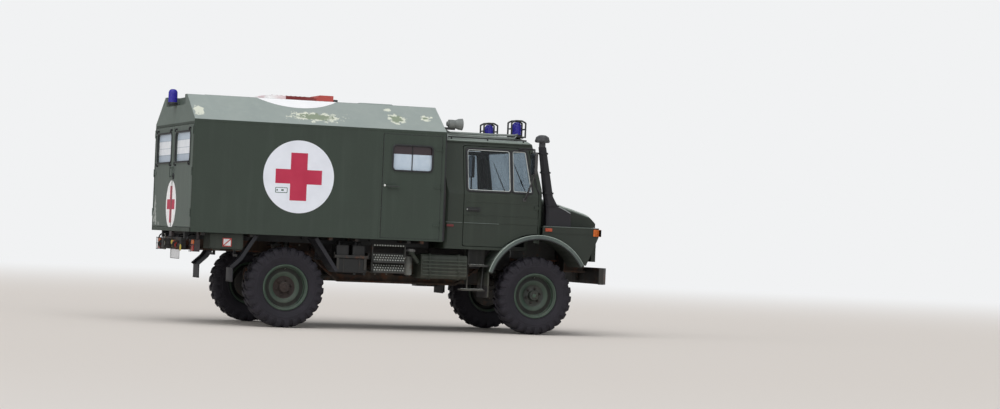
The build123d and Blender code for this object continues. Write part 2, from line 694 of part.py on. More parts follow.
side_door_rear = -345
side_door_front = 420
side_door_low = 1150
side_door_top = 2440
rear_door_half = 1130
rear_door_low = 1180
rear_door_top = 2440
recess_half = 540
recess_front = -2560
recess_floor = 2690
split_z = 2470


def box_block(inset):
    """The ambulance box's outer form, drawn in by the inset."""
    half, top = box_half - inset, roof_half - inset * 0.3
    rear_view = outline([(-half, box_floor + inset), (half, box_floor + inset), (half, eave_z - inset * 0.3),
                         (top, roof_z - inset), (-top, roof_z - inset), (-half, eave_z - inset * 0.3)])
    return along(rear_view, box_rear + inset, box_front - inset)


def box_wall():
    """Walls, floor and roof of the box, with the beacon recess let into the rear of the roof."""
    outer = box_block(0) - block(box_rear - 10, recess_front, -recess_half, recess_half, recess_floor, roof_z + 10)
    inner = box_block(wall) - block(box_rear - 10, recess_front + wall, -recess_half - wall, recess_half + wall,
                                    recess_floor - wall, roof_z + 10)
    return outer - inner


side_pane = (-215, 298, 1990, 2303)
left_pane = (-330, 230, 1960, 2300)
rear_pane = (120, 1000, 1985, 2355)
box_hatch = (-400, 400, 1740, 2100)


def box_shell():
    """Lower box: floor, side walls, front wall and rear door frame, with door and window openings cut."""
    shell = box_wall() - block(box_rear - 10, box_front + 10, -1300, 1300, split_z, 3000)
    shell -= block(side_door_rear, side_door_front, -1200, -1120, side_door_low, side_door_top)
    shell -= block(box_rear - 10, box_rear + wall + 5, -rear_door_half, rear_door_half, rear_door_low, rear_door_top)
    shell -= across(rectangle(*left_pane, 50), 1100, 1200)
    shell -= along(rectangle(*box_hatch, 40), box_front - wall - 10, box_front + 10)
    bearers = [block(x - 40, x + 40, -740, 740, box_floor - bearer_depth, box_floor + 5)
               for x in (-2380, -1180, -300, 360)]
    side_bars = [block(box_rear + 32, box_front - 30, y, y + 60, 1045, box_floor + 5) for y in (-700, 640)]
    return together([shell] + bearers + side_bars)


def box_roof():
    """Upper box: flat top with sloping sides, eave strip and two raised ventilator housings."""
    roof = box_wall() - block(box_rear - 10, box_front + 10, -1300, 1300, 1000, split_z)
    vents = [block(-1640, -1040, -340, 340, roof_z - 5, roof_z + 62),
             across(outline([(-980, roof_z - 5), (-757, roof_z - 5), (-757, roof_z + 98), (-930, roof_z + 98),
                             (-980, roof_z + 60)]), -240, 240),
             rod((-690, 0, roof_z - 5), (-690, 0, roof_z + 62), 55)]
    return together([roof] + vents)


def box_glass():
    """Fixed panes of the box: the left window and the front hatch."""
    left = across(rectangle(left_pane[0] + 1, left_pane[1] - 1, left_pane[2] + 1, left_pane[3] - 1, 49),
                  box_half - 26, box_half - 18)
    front = along(rectangle(box_hatch[0] + 1, box_hatch[1] - 1, box_hatch[2] + 1, box_hatch[3] - 1, 39),
                  box_front - 26, box_front - 20)
    return Compound(children=[*left.solids(), *front.solids()])


def side_door():
    """Right-hand box door with its window, grab handle and front hinges."""
    leaf = block(side_door_rear + 8, side_door_front - gap, -box_half, -box_half + wall, side_door_low + gap,
                 side_door_top - gap)
    leaf -= across(rectangle(*side_pane, 50), -1200, -1100)
    frame = across(rectangle(side_pane[0] - 22, side_pane[1] + 22, side_pane[2] - 22, side_pane[3] + 22, 68)
                   - rectangle(*side_pane, 50), -box_half - 7, -box_half + 1)
    handle = across(rectangle(-285, -130, 1776, 1806, 12), -box_half - 44, -box_half - 30)
    posts = [block(x, x + 26, -box_half - 32, -box_half + 1, 1780, 1802) for x in (-275, -170)]
    return together([leaf, frame, handle] + posts)


def side_door_glass():
    """Two panes of the box's side door, with a narrow gap between them."""
    middle = (side_pane[0] + side_pane[1]) / 2
    panes = across(rectangle(side_pane[0] + 1, side_pane[1] - 1, side_pane[2] + 1, side_pane[3] - 1, 49),
                   -box_half + 18, -box_half + 24)
    panes -= block(middle - 2, middle + 2, -box_half, -box_half + wall, side_pane[2], side_pane[3])
    return Compound(children=panes.solids())


def rear_door():
    """Left rear door with its wide window and pull handle."""
    leaf = block(box_rear, box_rear + wall, 3, rear_door_half - gap, rear_door_low + gap, rear_door_top - gap)
    leaf -= along(rectangle(*rear_pane, 60), box_rear - 10, box_rear + wall + 10)
    frame = along(rectangle(rear_pane[0] - 22, rear_pane[1] + 22, rear_pane[2] - 22, rear_pane[3] + 22, 78)
                  - rectangle(*rear_pane, 60), box_rear - 7, box_rear + 1)
    pull = across(rectangle(box_rear - 34, box_rear - 22, 1790, 1930, 5), 62, 80)
    feet = [block(box_rear - 26, box_rear + 1, 64, 78, z, z + 20) for z in (1796, 1904)]
    return together([leaf, frame, pull] + feet)


def rear_door_glass():
    """Pane of the left rear door."""
    return along(rectangle(rear_pane[0] + 1, rear_pane[1] - 1, rear_pane[2] + 1, rear_pane[3] - 1, 59),
                 box_rear + 18, box_rear + 24)


def bellows():
    """Rubber seal between the cab's rear hatch and the box, and the curtain round the gap outside it."""
    ring = rectangle(-560, 560, 1600, 2240, 60) - rectangle(-500, 500, 1660, 2180, 40)
    curtain = outline([(-1040, 1160), (1040, 1160), (1040, 1735), (918, 2365), (-918, 2365), (-1040, 1735)])
    curtain -= outline([(-1028, 1172), (1028, 1172), (1028, 1734), (907, 2353), (-907, 2353), (-1028, 1734)])
    return Compound(children=[*along(ring, box_front, cab_rear).solids(), *along(curtain, box_front, cab_rear).solids()])


def seats():
    """The two seats of the cab: upright cushions with waisted backs and head rests, on their boxes."""
    pieces = []
    for y in (-480, 480):
        cushion = along(rectangle(y - 250, y + 250, 1330, 1450, 45), 680, 1170)
        back = across(outline([(600, 1450), (720, 1450), (650, 2050), (570, 2050)], 25), y - 240, y + 240)
        rest = across(outline([(590, 2050), (640, 2050), (630, 2210), (580, 2210)], 15), y - 140, y + 140)
        pieces.append(together([cushion, back, rest]))
    return Compound(children=[solid for piece in pieces for solid in piece.solids()])


def cab_fittings():
    """Seat boxes, dashboard, steering wheel on its column and the hump over the gearbox."""
    boxes = [block(700, 1120, y - 210, y + 210, cab_floor + panel, 1330) for y in (-480, 480)]
    dash = across(outline([(1560, 1450), (1760, 1400), (1760, 1730), (1640, 1735), (1560, 1640)], 25), -1000, 1000)
    column = rod((1580, 480, 1500), (1400, 480, 1690), 26)
    hub = Plane(origin=(1395, 480, 1695), z_dir=(-180, 0, 190))
    wheel_ring = turned([(222, -12), (222, 12), (198, 12), (198, -12)], hub, 20, True)
    spokes = [hub * Rot(0, 0, turn) * Pos(105, 0, 0) * Box(210, 26, 10) for turn in (90, 210, 330)]
    wheel = together([dash, column, wheel_ring] + spokes)
    tunnel = across(outline([(1510, cab_floor + panel), (1750, cab_floor + panel), (1750, 1390), (1520, 1330)], 20),
                    -200, 200)
    pieces = boxes + [wheel, tunnel]
    return Compound(children=[solid for piece in pieces for solid in piece.solids()])


# Stretcher racks: side of the truck, front end of the rack
racks = [(-1, -480), (1, 20)]
rack_rear = -2570
deck_z = (1420, 2040)
deck_depth = 40


def box_fittings():
    """Inside the box: two-tier stretcher racks of tube on both sides, an attendant's seat and a supply cabinet."""
    pieces = []
    floor = box_floor + wall
    for side, front in racks:
        near, far = side * 560, side * 1110
        posts = [block(x, x + 36, near - 18, near + 18, floor, 2080) for x in (rack_rear + 10, front - 36)]
        decks = []
        for z in deck_z:
            y0, y1 = sorted((near, far))
            deck = block(rack_rear, front, y0, y1, z, z + deck_depth)
            deck -= block(rack_rear + 60, front - 60, y0 + 50, y1 - 50, z - 5, z + 30)
            decks.append(deck)
        pieces.append(together(posts + decks))
    base = block(-60, 300, -300, 120, floor, 1560)
    cabinet = block(60, 420, 640, 1120, floor, 1980)
    pieces += [base, cabinet]
    return Compound(children=[solid for piece in pieces for solid in piece.solids()])


def box_pads():
    """Mattresses on the lower racks and the cushions of the attendant's seat."""
    pieces = []
    for side, front in racks:
        y0, y1 = sorted((side * 590, side * 1080))
        z = deck_z[0] + deck_depth
        pieces.append(along(rectangle(y0, y1, z, z + 70, 25), rack_rear + 30, front - 40))
    pieces.append(across(rectangle(-60, 330, 1560, 1640, 30), -320, 140))
    pieces.append(across(outline([(300, 1640), (360, 1640), (400, 2080), (350, 2080)], 12), -300, 120))
    return Compound(children=[solid for piece in pieces for solid in piece.solids()])


locker_x = (-2463, -2051)
locker_low = 936


def lockers():
    """Open-fronted lockers under the box behind the rear wheels."""
    outer = block(locker_x[0], locker_x[1], 760, 1100, locker_low, box_floor)
    inner = block(locker_x[0] + 12, locker_x[1] - 12, 772, 1110, locker_low + 12, box_floor - 12)
    return Compound(children=[*(outer - inner).solids(), *other_side(outer - inner).solids()])


def locker_lid():
    """Drop-down lid of the left locker."""
    lid = across(rectangle(locker_x[0], locker_x[1], locker_low + 2, box_floor - 8, 12), 1104, 1118)
    latch = block(-2280, -2234, 1117, 1130, 1075, 1100)
    return lid + latch


def tail_lamps():
    """Rear lamp blocks on brackets under the box, and the middle fog lamp."""
    lamp = along(rectangle(930, 1080, 890, 1040, 12), -2645, -2576)
    bracket = block(-2600, -2580, 980, 1030, 1035, box_floor)
    middle = block(-2722, -2690, -70, 70, 1062, 1126)
    pieces = [lamp + bracket, other_side(lamp + bracket), middle]
    return Compound(children=[solid for piece in pieces for solid in piece.solids()])


def side_step():
    """Folding ladder below the side door: stringers with two treads that lie level when it swings out."""
    tilt = 55
    stringers = [block(x, x + 12, -1078, -1030, 720, 1052) for x in (-405, 15)]
    treads = []
    for z in (775, 900):
        tread = Pos(-189, -1070, z) * Rot(tilt, 0, 0) * Box(410, 130, 14)
        treads.append(tread)
    top = block(-395, 17, -1080, -1030, 1046, 1066)
    return together(stringers + treads + [top])


WHEELS = {
    "front_left": (front_axle_x, 1),
    "front_right": (front_axle_x, -1),
    "rear_left": (rear_axle_x, 1),
    "rear_right": (rear_axle_x, -1),
}


def main():
    """Build every piece and write one file for each."""
    os.makedirs("parts", exist_ok=True)
    nodes = {
        "frame": frame_rails(),
        "bumper": bumper(),
        "tow_beam": tow_beam(),
        "front_axle": axle(front_axle_x, True),
        "rear_axle": axle(rear_axle_x, False),
        "suspension": suspension(),
        "driveline": driveline(),
        "engine": engine(),
        "exhaust": exhaust(),
        "fuel_tank": fuel_tank(),
        "side_gear": side_gear(),
        "cab_steps": cab_steps(),
        "mudguards": mudguards(),
        "cab_shell": cab_shell(),
        "cab_glass": cab_glass(),
        "cab_fittings": cab_fittings(),
        "seats": seats(),
        "wings": wings(),
        "grille": grille(),
        "front_lamps": front_lamps(),
        "snorkel": snorkel(),
        "beacons": beacons(),
        "roof_fittings": roof_fittings(),
        "box_shell": box_shell(),
        "box_roof": box_roof(),
        "box_glass": box_glass(),
        "box_fittings": box_fittings(),
        "box_pads": box_pads(),
        "bellows": bellows(),
        "lockers": lockers(),
        "tail_lamps": tail_lamps(),
        "tie_rod": tie_rod(),
        "bonnet": bonnet(),
        "side_door": side_door(),
        "side_door_glass": side_door_glass(),
        "side_step": side_step(),
    }
    left_pieces = {
        "knuckle": knuckle(),
        "cab_door": cab_door(),
        "cab_door_glass": cab_door_glass(),
        "mirror": mirror_head(),
        "rear_door": rear_door(),
        "rear_door_glass": rear_door_glass(),
        "locker_lid": locker_lid(),
    }
    for name, piece in left_pieces.items():
        nodes[name + "_left"] = piece
        nodes[name + "_right"] = other_side(piece)
    one_tyre, one_rim = tyre(), rim()
    for name, (x, side) in WHEELS.items():
        for kind, piece in (("tyre", one_tyre), ("rim", one_rim)):
            placed = Pos(x, wheel_y, axle_z) * piece
            nodes[kind + "_" + name] = placed if side > 0 else other_side(placed)
    for name, piece in nodes.items():
        export_step(piece, "parts/" + name + ".step")


main()
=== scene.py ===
"""Military ambulance truck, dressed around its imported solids: worn paint, rubber, glass, springs, seals, fittings."""

import bmesh
import bpy
import numpy as np
from mathutils import Matrix, Vector


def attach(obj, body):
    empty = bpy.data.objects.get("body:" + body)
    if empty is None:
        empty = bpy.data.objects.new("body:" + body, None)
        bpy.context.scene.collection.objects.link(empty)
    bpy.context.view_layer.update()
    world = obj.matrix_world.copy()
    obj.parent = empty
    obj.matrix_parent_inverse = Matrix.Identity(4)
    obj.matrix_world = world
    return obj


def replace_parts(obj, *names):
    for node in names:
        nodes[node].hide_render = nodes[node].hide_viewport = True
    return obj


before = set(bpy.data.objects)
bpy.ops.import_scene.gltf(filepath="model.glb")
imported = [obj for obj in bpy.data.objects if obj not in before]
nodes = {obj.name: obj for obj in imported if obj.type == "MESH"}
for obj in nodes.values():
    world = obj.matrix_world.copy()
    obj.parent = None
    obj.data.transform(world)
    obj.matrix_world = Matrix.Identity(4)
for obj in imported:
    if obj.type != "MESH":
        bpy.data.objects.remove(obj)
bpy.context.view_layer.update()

# Studio.
# A long lens stands low and far off to the truck's right rear, over a plain pale floor that fades into white.
# Soft light falls from above and from behind the truck, so that the roof slope and the rear face are the lightest.

# the camera's heading off the truck's side, its tilt down and its roll, in radians
turn, dip, roll = 0.32812, 0.014, 0.041
sight = Vector((float(np.sin(turn) * np.cos(dip)), float(np.cos(turn) * np.cos(dip)), float(np.sin(dip))))
level = Vector((float(np.cos(turn)), -float(np.sin(turn)), 0.0))
upward = level.cross(sight)
camera_x = float(np.cos(roll)) * level + float(np.sin(roll)) * upward
camera_y = float(np.cos(roll)) * upward - float(np.sin(roll)) * level
camera = bpy.data.objects.new("camera", bpy.data.cameras.new("camera"))
camera.matrix_world = (Matrix.Translation((-9.337, -32.146, 1.169))
                       @ Matrix((camera_x, camera_y, -sight)).transposed().to_4x4())
camera.data.lens = 93.9
camera.data.sensor_width = 36
camera.data.clip_end = 500
bpy.context.scene.collection.objects.link(camera)
bpy.context.scene.camera = camera
bpy.context.scene.view_settings.view_transform = "Standard"


def hex_linear(code):
    """sRGB hex to linear RGBA: c / 12.92 below 0.04045, and ((c + 0.055) / 1.055) to the power 2.4 above it."""
    c = np.array([int(code[i:i + 2], 16) for i in (1, 3, 5)]) / 255
    linear = np.where(c <= 0.04045, c / 12.92, ((c + 0.055) / 1.055) ** 2.4)
    return (float(linear[0]), float(linear[1]), float(linear[2]), 1.0)


def add_node(material, kind, settings=(), values=(), links=()):
    """Adds one node with its settings, the values of its sockets and the links into them; a world takes them too."""
    node = material.node_tree.nodes.new("ShaderNode" + kind)
    for name, value in dict(settings).items():
        setattr(node, name, value)
    for socket, value in dict(values).items():
        node.inputs[socket].default_value = value
    for socket, source in dict(links).items():
        material.node_tree.links.new(source, node.inputs[socket])
    return node


def bare_material(name):
    """A material with nothing in it but nodes to come."""
    material = bpy.data.materials.new(name)
    material.use_nodes = True
    material.node_tree.nodes.clear()
    return material


def quads(rows, cols, close_rows=False, close_cols=False):
    """Faces of a grid of rows x cols points, joined end to end where a direction is closed."""
    r = np.arange(rows if close_rows else rows - 1)[:, None]
    c = np.arange(cols if close_cols else cols - 1)[None, :]
    r1, c1 = (r + 1) % rows, (c + 1) % cols
    return np.stack([r * cols + c, r * cols + c1, r1 * cols + c1, r1 * cols + c], -1).reshape(-1, 4)


floor_radius, studio_white = 90.0, "#F1F2F3"
ring_r = np.concatenate([[0.0], np.geomspace(1.0, floor_radius, 24)])[:, None]
ring_a = np.linspace(0, 2 * np.pi, 97)[None, :-1]
floor_points = np.stack([ring_r * np.cos(ring_a), ring_r * np.sin(ring_a), ring_r * 0 * ring_a - 0.0005], -1)
floor_mesh = bpy.data.meshes.new("floor")
floor_mesh.from_pydata(floor_points.reshape(-1, 3).tolist(), [], quads(25, 96, close_cols=True)[:, ::-1].tolist())
floor = bpy.data.objects.new("floor", floor_mesh)
bpy.context.scene.collection.objects.link(floor)
pale_floor = bare_material("matt pale screed")
place = add_node(pale_floor, "TexCoord").outputs["Object"]
away = add_node(pale_floor, "VectorMath", {"operation": "LENGTH"}, links={0: place}).outputs["Value"]
fade = add_node(pale_floor, "MapRange", {"interpolation_type": "SMOOTHSTEP"}, {1: 9.0, 2: 46.0},
                {0: away}).outputs[0]
path = add_node(pale_floor, "LightPath")
blend = add_node(pale_floor, "Math", {"operation": "MULTIPLY"},
                 links={0: fade, 1: path.outputs["Is Camera Ray"]}).outputs[0]
screed = add_node(pale_floor, "BsdfPrincipled", values={"Base Color": hex_linear("#DCD5CE"), "Roughness": 0.9,
                                                        "Specular IOR Level": 0.1})
glow = add_node(pale_floor, "Emission", values={"Color": hex_linear(studio_white), "Strength": 1.0})
mixed = add_node(pale_floor, "MixShader", links={0: blend, 1: screed.outputs[0], 2: glow.outputs[0]})
add_node(pale_floor, "OutputMaterial", links={"Surface": mixed.outputs[0]})
floor.data.materials.append(pale_floor)

world = bpy.data.worlds.new("studio surround")
world.use_nodes = True
bpy.context.scene.world = world
world.node_tree.nodes.clear()
rays = add_node(world, "LightPath").outputs
show = add_node(world, "Math", {"operation": "MAXIMUM"},
                links={0: rays["Is Camera Ray"], 1: rays["Is Transmission Ray"]})
dim = add_node(world, "Background", values={0: hex_linear("#E9EDF2"), 1: 0.38})
white = add_node(world, "Background", values={0: hex_linear(studio_white), 1: 1.0})
choose = add_node(world, "MixShader", links={0: show.outputs[0], 1: dim.outputs[0], 2: white.outputs[0]})
add_node(world, "OutputWorld", links={0: choose.outputs[0]})

# columns: name, direction that the light travels, strength, width of the source in radians
for name, heading, strength, width in (("overhead", (0.12, 0.25, -1.0), 1.40, 1.3),
                                       ("behind", (1.0, 0.45, -0.45), 1.08, 1.2),
                                       ("fill", (-0.15, 1.0, -0.25), 0.72, 1.4)):
    lamp = bpy.data.lights.new(name, "SUN")
    lamp.energy, lamp.angle = strength, width
    light = bpy.data.objects.new(name, lamp)
    light.rotation_mode = "QUATERNION"
    light.rotation_quaternion = Vector(heading).to_track_quat("-Z", "Y")
    bpy.context.scene.collection.objects.link(light)


# Ladder frame and running gear.
# Cranked channel rails, cross-beams, axles and shafts of black-painted forged and rolled steel. Road dirt dries on
# them, and rust breaks through the paint in patches, most of all along the low middle of the frame.
def painted_over(material, colour, factor, code):
    """The colour, with another laid over it where the factor is 1."""
    return add_node(material, "Mix", {"data_type": "RGBA"}, {7: hex_linear(code)}, {0: factor, 6: colour}).outputs[2]


def facing_up(material):
    """How far a face looks up: the height of its normal, from -1 to 1."""
    normal = add_node(material, "NewGeometry").outputs["Normal"]
    return add_node(material, "SeparateXYZ", links={0: normal}).outputs["Z"]


def worn_paint(name, coat, faded, scuff, roughness, scuffed=0.30, grime=0.55, grime_top=1.25, rust=0.0, masks=None):
    """Paint on steel: broad fading, rain streaks, rubbed spots, dust that rises from the road, and rust patches."""
    material = bare_material(name)
    place = add_node(material, "TexCoord").outputs["Object"]
    # fading in patches about 0.4 m across
    patches = add_node(material, "TexNoise", values={"Scale": 2.6, "Detail": 5.0, "Roughness": 0.62},
                       links={"Vector": place}).outputs["Fac"]
    spread = add_node(material, "MapRange", values={1: 0.34, 2: 0.68}, links={0: patches}).outputs[0]
    colour = add_node(material, "Mix", {"data_type": "RGBA"}, {6: hex_linear(coat), 7: hex_linear(faded)},
                      {0: spread}).outputs[2]
    # rain streaks, 60 to 100 mm apart and over half a metre long
    drawn = add_node(material, "Mapping", values={"Scale": (11, 11, 0.8)}, links={"Vector": place}).outputs[0]
    streaks = add_node(material, "TexNoise", values={"Scale": 1.0, "Detail": 4.0},
                       links={"Vector": drawn}).outputs["Fac"]
    streak = add_node(material, "MapRange", values={1: 0.5, 2: 0.78, 4: 0.24}, links={0: streaks}).outputs[0]
    colour = painted_over(material, colour, streak, scuff)
    if masks:
        colour = masks(material, place, colour)
    # rubbed spots of 5 to 30 mm, where gear and branches brush past
    spots = add_node(material, "TexNoise", values={"Scale": 17.0, "Detail": 9.0, "Roughness": 0.66,
                                                   "Distortion": 0.4}, links={"Vector": place}).outputs["Fac"]
    rubbed = add_node(material, "MapRange", values={1: 0.62, 2: 0.70, 4: scuffed}, links={0: spots}).outputs[0]
    colour = painted_over(material, colour, rubbed, scuff)
    # road dust, thickest low down
    height = add_node(material, "SeparateXYZ", links={0: place}).outputs["Z"]
    low = add_node(material, "MapRange", {"interpolation_type": "SMOOTHSTEP"},
                   {1: 0.35, 2: grime_top, 3: grime, 4: 0.0}, {0: height}).outputs[0]
    cloud = add_node(material, "MapRange", values={1: 0.3, 2: 0.6}, links={0: streaks}).outputs[0]
    dusty = add_node(material, "Math", {"operation": "MULTIPLY"}, links={0: low, 1: cloud}).outputs[0]
    colour = painted_over(material, colour, dusty, "#6A6458")
    # dust that settles on what faces up
    settled = add_node(material, "MapRange", values={1: 0.55, 2: 1.0, 4: 0.22},
                       links={0: facing_up(material)}).outputs[0]
    settled = add_node(material, "Math", {"operation": "MULTIPLY"}, links={0: settled, 1: spread}).outputs[0]
    colour = painted_over(material, colour, settled, "#8B8C84")
    if rust:
        bloom = add_node(material, "TexNoise", values={"Scale": 6.5, "Detail": 8.0, "Roughness": 0.7},
                         links={"Vector": place}).outputs["Fac"]
        rusty = add_node(material, "MapRange", values={1: 0.60 - 0.22 * rust, 2: 0.74 - 0.20 * rust, 4: 0.85},
                         links={0: bloom}).outputs[0]
        tint = add_node(material, "Mix", {"data_type": "RGBA"}, {6: hex_linear("#4A2C1C"), 7: hex_linear("#73452A")},
                        {0: spots}).outputs[2]
        colour = add_node(material, "Mix", {"data_type": "RGBA"}, links={0: rusty, 6: colour, 7: tint}).outputs[2]
    rough = add_node(material, "MapRange", values={1: 0.3, 2: 0.7, 3: roughness - 0.09, 4: roughness + 0.12},
                     links={0: patches}).outputs[0]
    # orange peel of about 2 mm, over slow waves in the sheet
    peel = add_node(material, "TexNoise", values={"Scale": 420.0, "Detail": 2.0},
                    links={"Vector": place}).outputs["Fac"]
    waves = add_node(material, "TexNoise", values={"Scale": 1.9, "Detail": 1.0},
                     links={"Vector": place}).outputs["Fac"]
    bump = add_node(material, "Bump", values={"Strength": 0.10, "Distance": 0.0012},
                    links={"Height": peel}).outputs[0]
    bump = add_node(material, "Bump", values={"Strength": 0.35, "Distance": 0.006},
                    links={"Height": waves, "Normal": bump}).outputs[0]
    shader = add_node(material, "BsdfPrincipled", values={"IOR": 1.5},
                      links={"Base Color": colour, "Roughness": rough, "Normal": bump})
    add_node(material, "OutputMaterial", links={"Surface": shader.outputs[0]})
    return material


def coat_node(name, material):
    """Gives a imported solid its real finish."""
    mesh = nodes[name].data
    mesh.materials.clear()
    mesh.materials.append(material)


chassis_black = worn_paint("chassis enamel over rolled steel", "#141518", "#1E1E1D", "#33332F", 0.6, grime=0.3,
                           grime_top=1.2, rust=0.35)
rusted_steel = worn_paint("rusted rolled steel", "#241F1E", "#44342A", "#7A5E48", 0.8, 0.5, grime=0.25, rust=0.45)
for name in ("tow_beam", "front_axle", "rear_axle", "driveline", "tie_rod", "knuckle_left", "knuckle_right",
             "bumper"):
    coat_node(name, chassis_black)
coat_node("frame", rusted_steel)
cast_iron = worn_paint("cast iron, oily", "#2E3032", "#3C3B38", "#56544E", 0.5, grime=0.7, rust=0.15)
coat_node("engine", cast_iron)


# points closer than 0.02 mm are one, and edges that turn by more than 0.6 radians stay sharp
merge_distance, sharp_angle = 0.00002, 0.6


def add_piece(name, part, material, body="root", flat=False):
    """Makes a part, points and faces, into a mesh that rides on a body: doubles merged, faces turned outwards."""
    points, faces = part
    mesh = bpy.data.meshes.new(name)
    mesh.from_pydata(np.asarray(points, float).reshape(-1, 3).tolist(), [], [list(map(int, face)) for face in faces])
    shape = bmesh.new()
    shape.from_mesh(mesh)
    bmesh.ops.remove_doubles(shape, verts=shape.verts, dist=merge_distance)
    bmesh.ops.dissolve_degenerate(shape, edges=shape.edges, dist=merge_distance / 4)
    bmesh.ops.recalc_face_normals(shape, faces=shape.faces)
    for face in shape.faces:
        face.smooth = not flat
    if not flat:
        for edge in shape.edges:
            edge.smooth = edge.calc_face_angle(0.0) < sharp_angle
    shape.to_mesh(mesh)
    shape.free()
    mesh.materials.append(material)
    piece = bpy.data.objects.new(name, mesh)
    bpy.context.scene.collection.objects.link(piece)
    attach(piece, body)
    return piece


def joined(*parts):
    """Several parts as one: points stacked, and each part's faces counted on from the points before it."""
    points, faces, start = [], [], 0
    for part_points, part_faces in parts:
        part_points = np.asarray(part_points, float).reshape(-1, 3)
        points.append(part_points)
        faces += [[int(i) + start for i in face] for face in part_faces]
        start += len(part_points)
    return np.concatenate(points), faces


def placed(part, spot, flip=(1, 1, 1)):
    """The part carried from the origin to a spot, and mirrored on the way where the flip is -1."""
    return np.asarray(part[0], float).reshape(-1, 3) * flip + spot, part[1]


def opposite(part):
    """The part's mirror image on the other side of the truck."""
    return placed(part, 0, (1, -1, 1))


def both(part):
    """The part and its mirror image."""
    return joined(part, opposite(part))


def add_pair(name, part, material, body):
    """The part as a piece on the right-hand body, and its mirror image as a piece on the left-hand one."""
    add_piece(name + "_right", part, material, body + "_right")
    add_piece(name + "_left", opposite(part), material, body + "_left")


def rounded(corners, radius, steps=5):
    """Closed outline with cut corners, each bridged by (1-t)^2 p + 2t(1-t) c + t^2 q between points on its runs."""
    c = np.asarray(corners, float)
    before, after = np.roll(c, 1, 0) - c, np.roll(c, -1, 0) - c
    p = c + before / np.linalg.norm(before, axis=1, keepdims=True) * radius
    q = c + after / np.linalg.norm(after, axis=1, keepdims=True) * radius
    t = np.linspace(0, 1, steps)[:, None, None]
    bend = (1 - t) ** 2 * p + 2 * t * (1 - t) * c + t ** 2 * q
    return bend.transpose(1, 0, 2).reshape(-1, c.shape[1])


def bent(corners, radius):
    """Open line with its inner corners bridged in the same way."""
    c = np.asarray(corners, float)
    bridges = rounded(c, radius).reshape(len(c), -1, c.shape[1])[1:-1]
    return np.concatenate([c[:1], bridges.reshape(-1, c.shape[1]), c[-1:]])


def carried(path, section, face, closed=True):
    """A section (a across, b out) carried along a path: path + a * across + b * out, with mitred corners."""
    path, section = np.asarray(path, float), np.asarray(section, float)
    ahead, behind = np.roll(path, -1, 0) - path, path - np.roll(path, 1, 0)
    if not closed:
        ahead[-1], behind[0] = behind[-1], ahead[0]
    ahead /= np.linalg.norm(ahead, axis=1, keepdims=True)
    behind /= np.linalg.norm(behind, axis=1, keepdims=True)
    tangent = ahead + behind
    tangent /= np.linalg.norm(tangent, axis=1, keepdims=True)
    across = np.cross(tangent, np.broadcast_to(np.asarray(face, float), path.shape))
    across /= np.linalg.norm(across, axis=1, keepdims=True)
    out = np.cross(across, tangent)
    mitre = 1 / np.clip(np.sum(tangent * ahead, 1), 0.5, 1)[:, None]
    points = path[:, None] + section[None, :, :1] * (across * mitre)[:, None] + section[None, :, 1:] * out[:, None]
    faces = quads(len(path), len(section), closed, True).tolist()
    if not closed:
        end = (len(path) - 1) * len(section)
        faces += [list(range(len(section))), [end + i for i in range(len(section))][::-1]]
    return points.reshape(-1, 3), faces


def circle(radius, count):
    """Round section of a bar."""
    a = np.arange(count) * 2 * np.pi / count
    return np.stack([radius * np.cos(a), radius * np.sin(a)], -1)


def rod(path, radius, sides, face):
    """A round bar along an open path."""
    return carried(path, circle(radius, sides), face, False)


def turned(profile, centre, axis, steps):
    """A line of (radius, height) pairs turned about an axis: radius * (cos a, sin a) across it, height along it."""
    r, h = np.asarray(profile, float).T
    a = np.arange(steps)[:, None] * 2 * np.pi / steps
    u, v, w = r * np.cos(a), r * np.sin(a), h + 0 * a
    points = np.stack({"x": (w, u, v), "y": (v, w, u), "z": (u, v, w)}[axis], -1) + np.asarray(centre, float)
    return points.reshape(-1, 3), quads(steps, len(r), True, False).tolist()


def slab(outline, low, high, bevel, corner, u_axis, v_axis):
    """An outline (u, v) made thick from low to high, its rims chamfered by the bevel, set in space by its axes."""
    c = np.asarray(outline, float)
    ahead, behind = np.roll(c, -1, 0) - c, c - np.roll(c, 1, 0)
    ahead /= np.maximum(np.linalg.norm(ahead, axis=1, keepdims=True), 1e-9)
    behind /= np.maximum(np.linalg.norm(behind, axis=1, keepdims=True), 1e-9)
    inward = np.stack([-(ahead + behind)[:, 1], (ahead + behind)[:, 0]], -1)
    inward /= np.maximum(np.linalg.norm(inward, axis=1, keepdims=True), 1e-9)
    area = np.sum(c[:, 0] * np.roll(c[:, 1], -1) - np.roll(c[:, 0], -1) * c[:, 1])
    inset = c + inward * bevel * np.sign(area)
    u, v = np.asarray(u_axis, float), np.asarray(v_axis, float)
    w = np.cross(u, v)
    rings = [(inset, low), (c, low + bevel), (c, high - bevel), (inset, high)]
    points = np.stack([np.asarray(corner, float) + ring[:, :1] * u + ring[:, 1:] * v + level * w
                       for ring, level in rings])
    n = len(c)
    faces = quads(4, n, False, True).tolist() + [list(range(n))[::-1], list(range(3 * n, 4 * n))]
    return points.reshape(-1, 3), faces


def box_part(corner, far_corner, bevel, radius=0.0):
    """A block between two opposite corners, with chamfered edges and, where a radius is given, rounded uprights."""
    (x0, y0, z0), (x1, y1, z1) = np.sort([corner, far_corner], axis=0).tolist()
    outline = np.array([(x0, y0), (x1, y0), (x1, y1), (x0, y1)], float)
    if radius:
        outline = rounded(outline, radius)
    return slab(outline, z0, z1, bevel, (0, 0, 0), (1, 0, 0), (0, 1, 0))


def bolts(places, u_axis, v_axis, size, height=0.009):
    """Hexagon heads at the places, standing out along u x v."""
    a = np.arange(6) * np.pi / 3
    head = np.stack([np.cos(a), np.sin(a)], -1) * size / 2
    return joined(*[slab(head, -0.001, height, size * 0.08, place, u_axis, v_axis) for place in places])


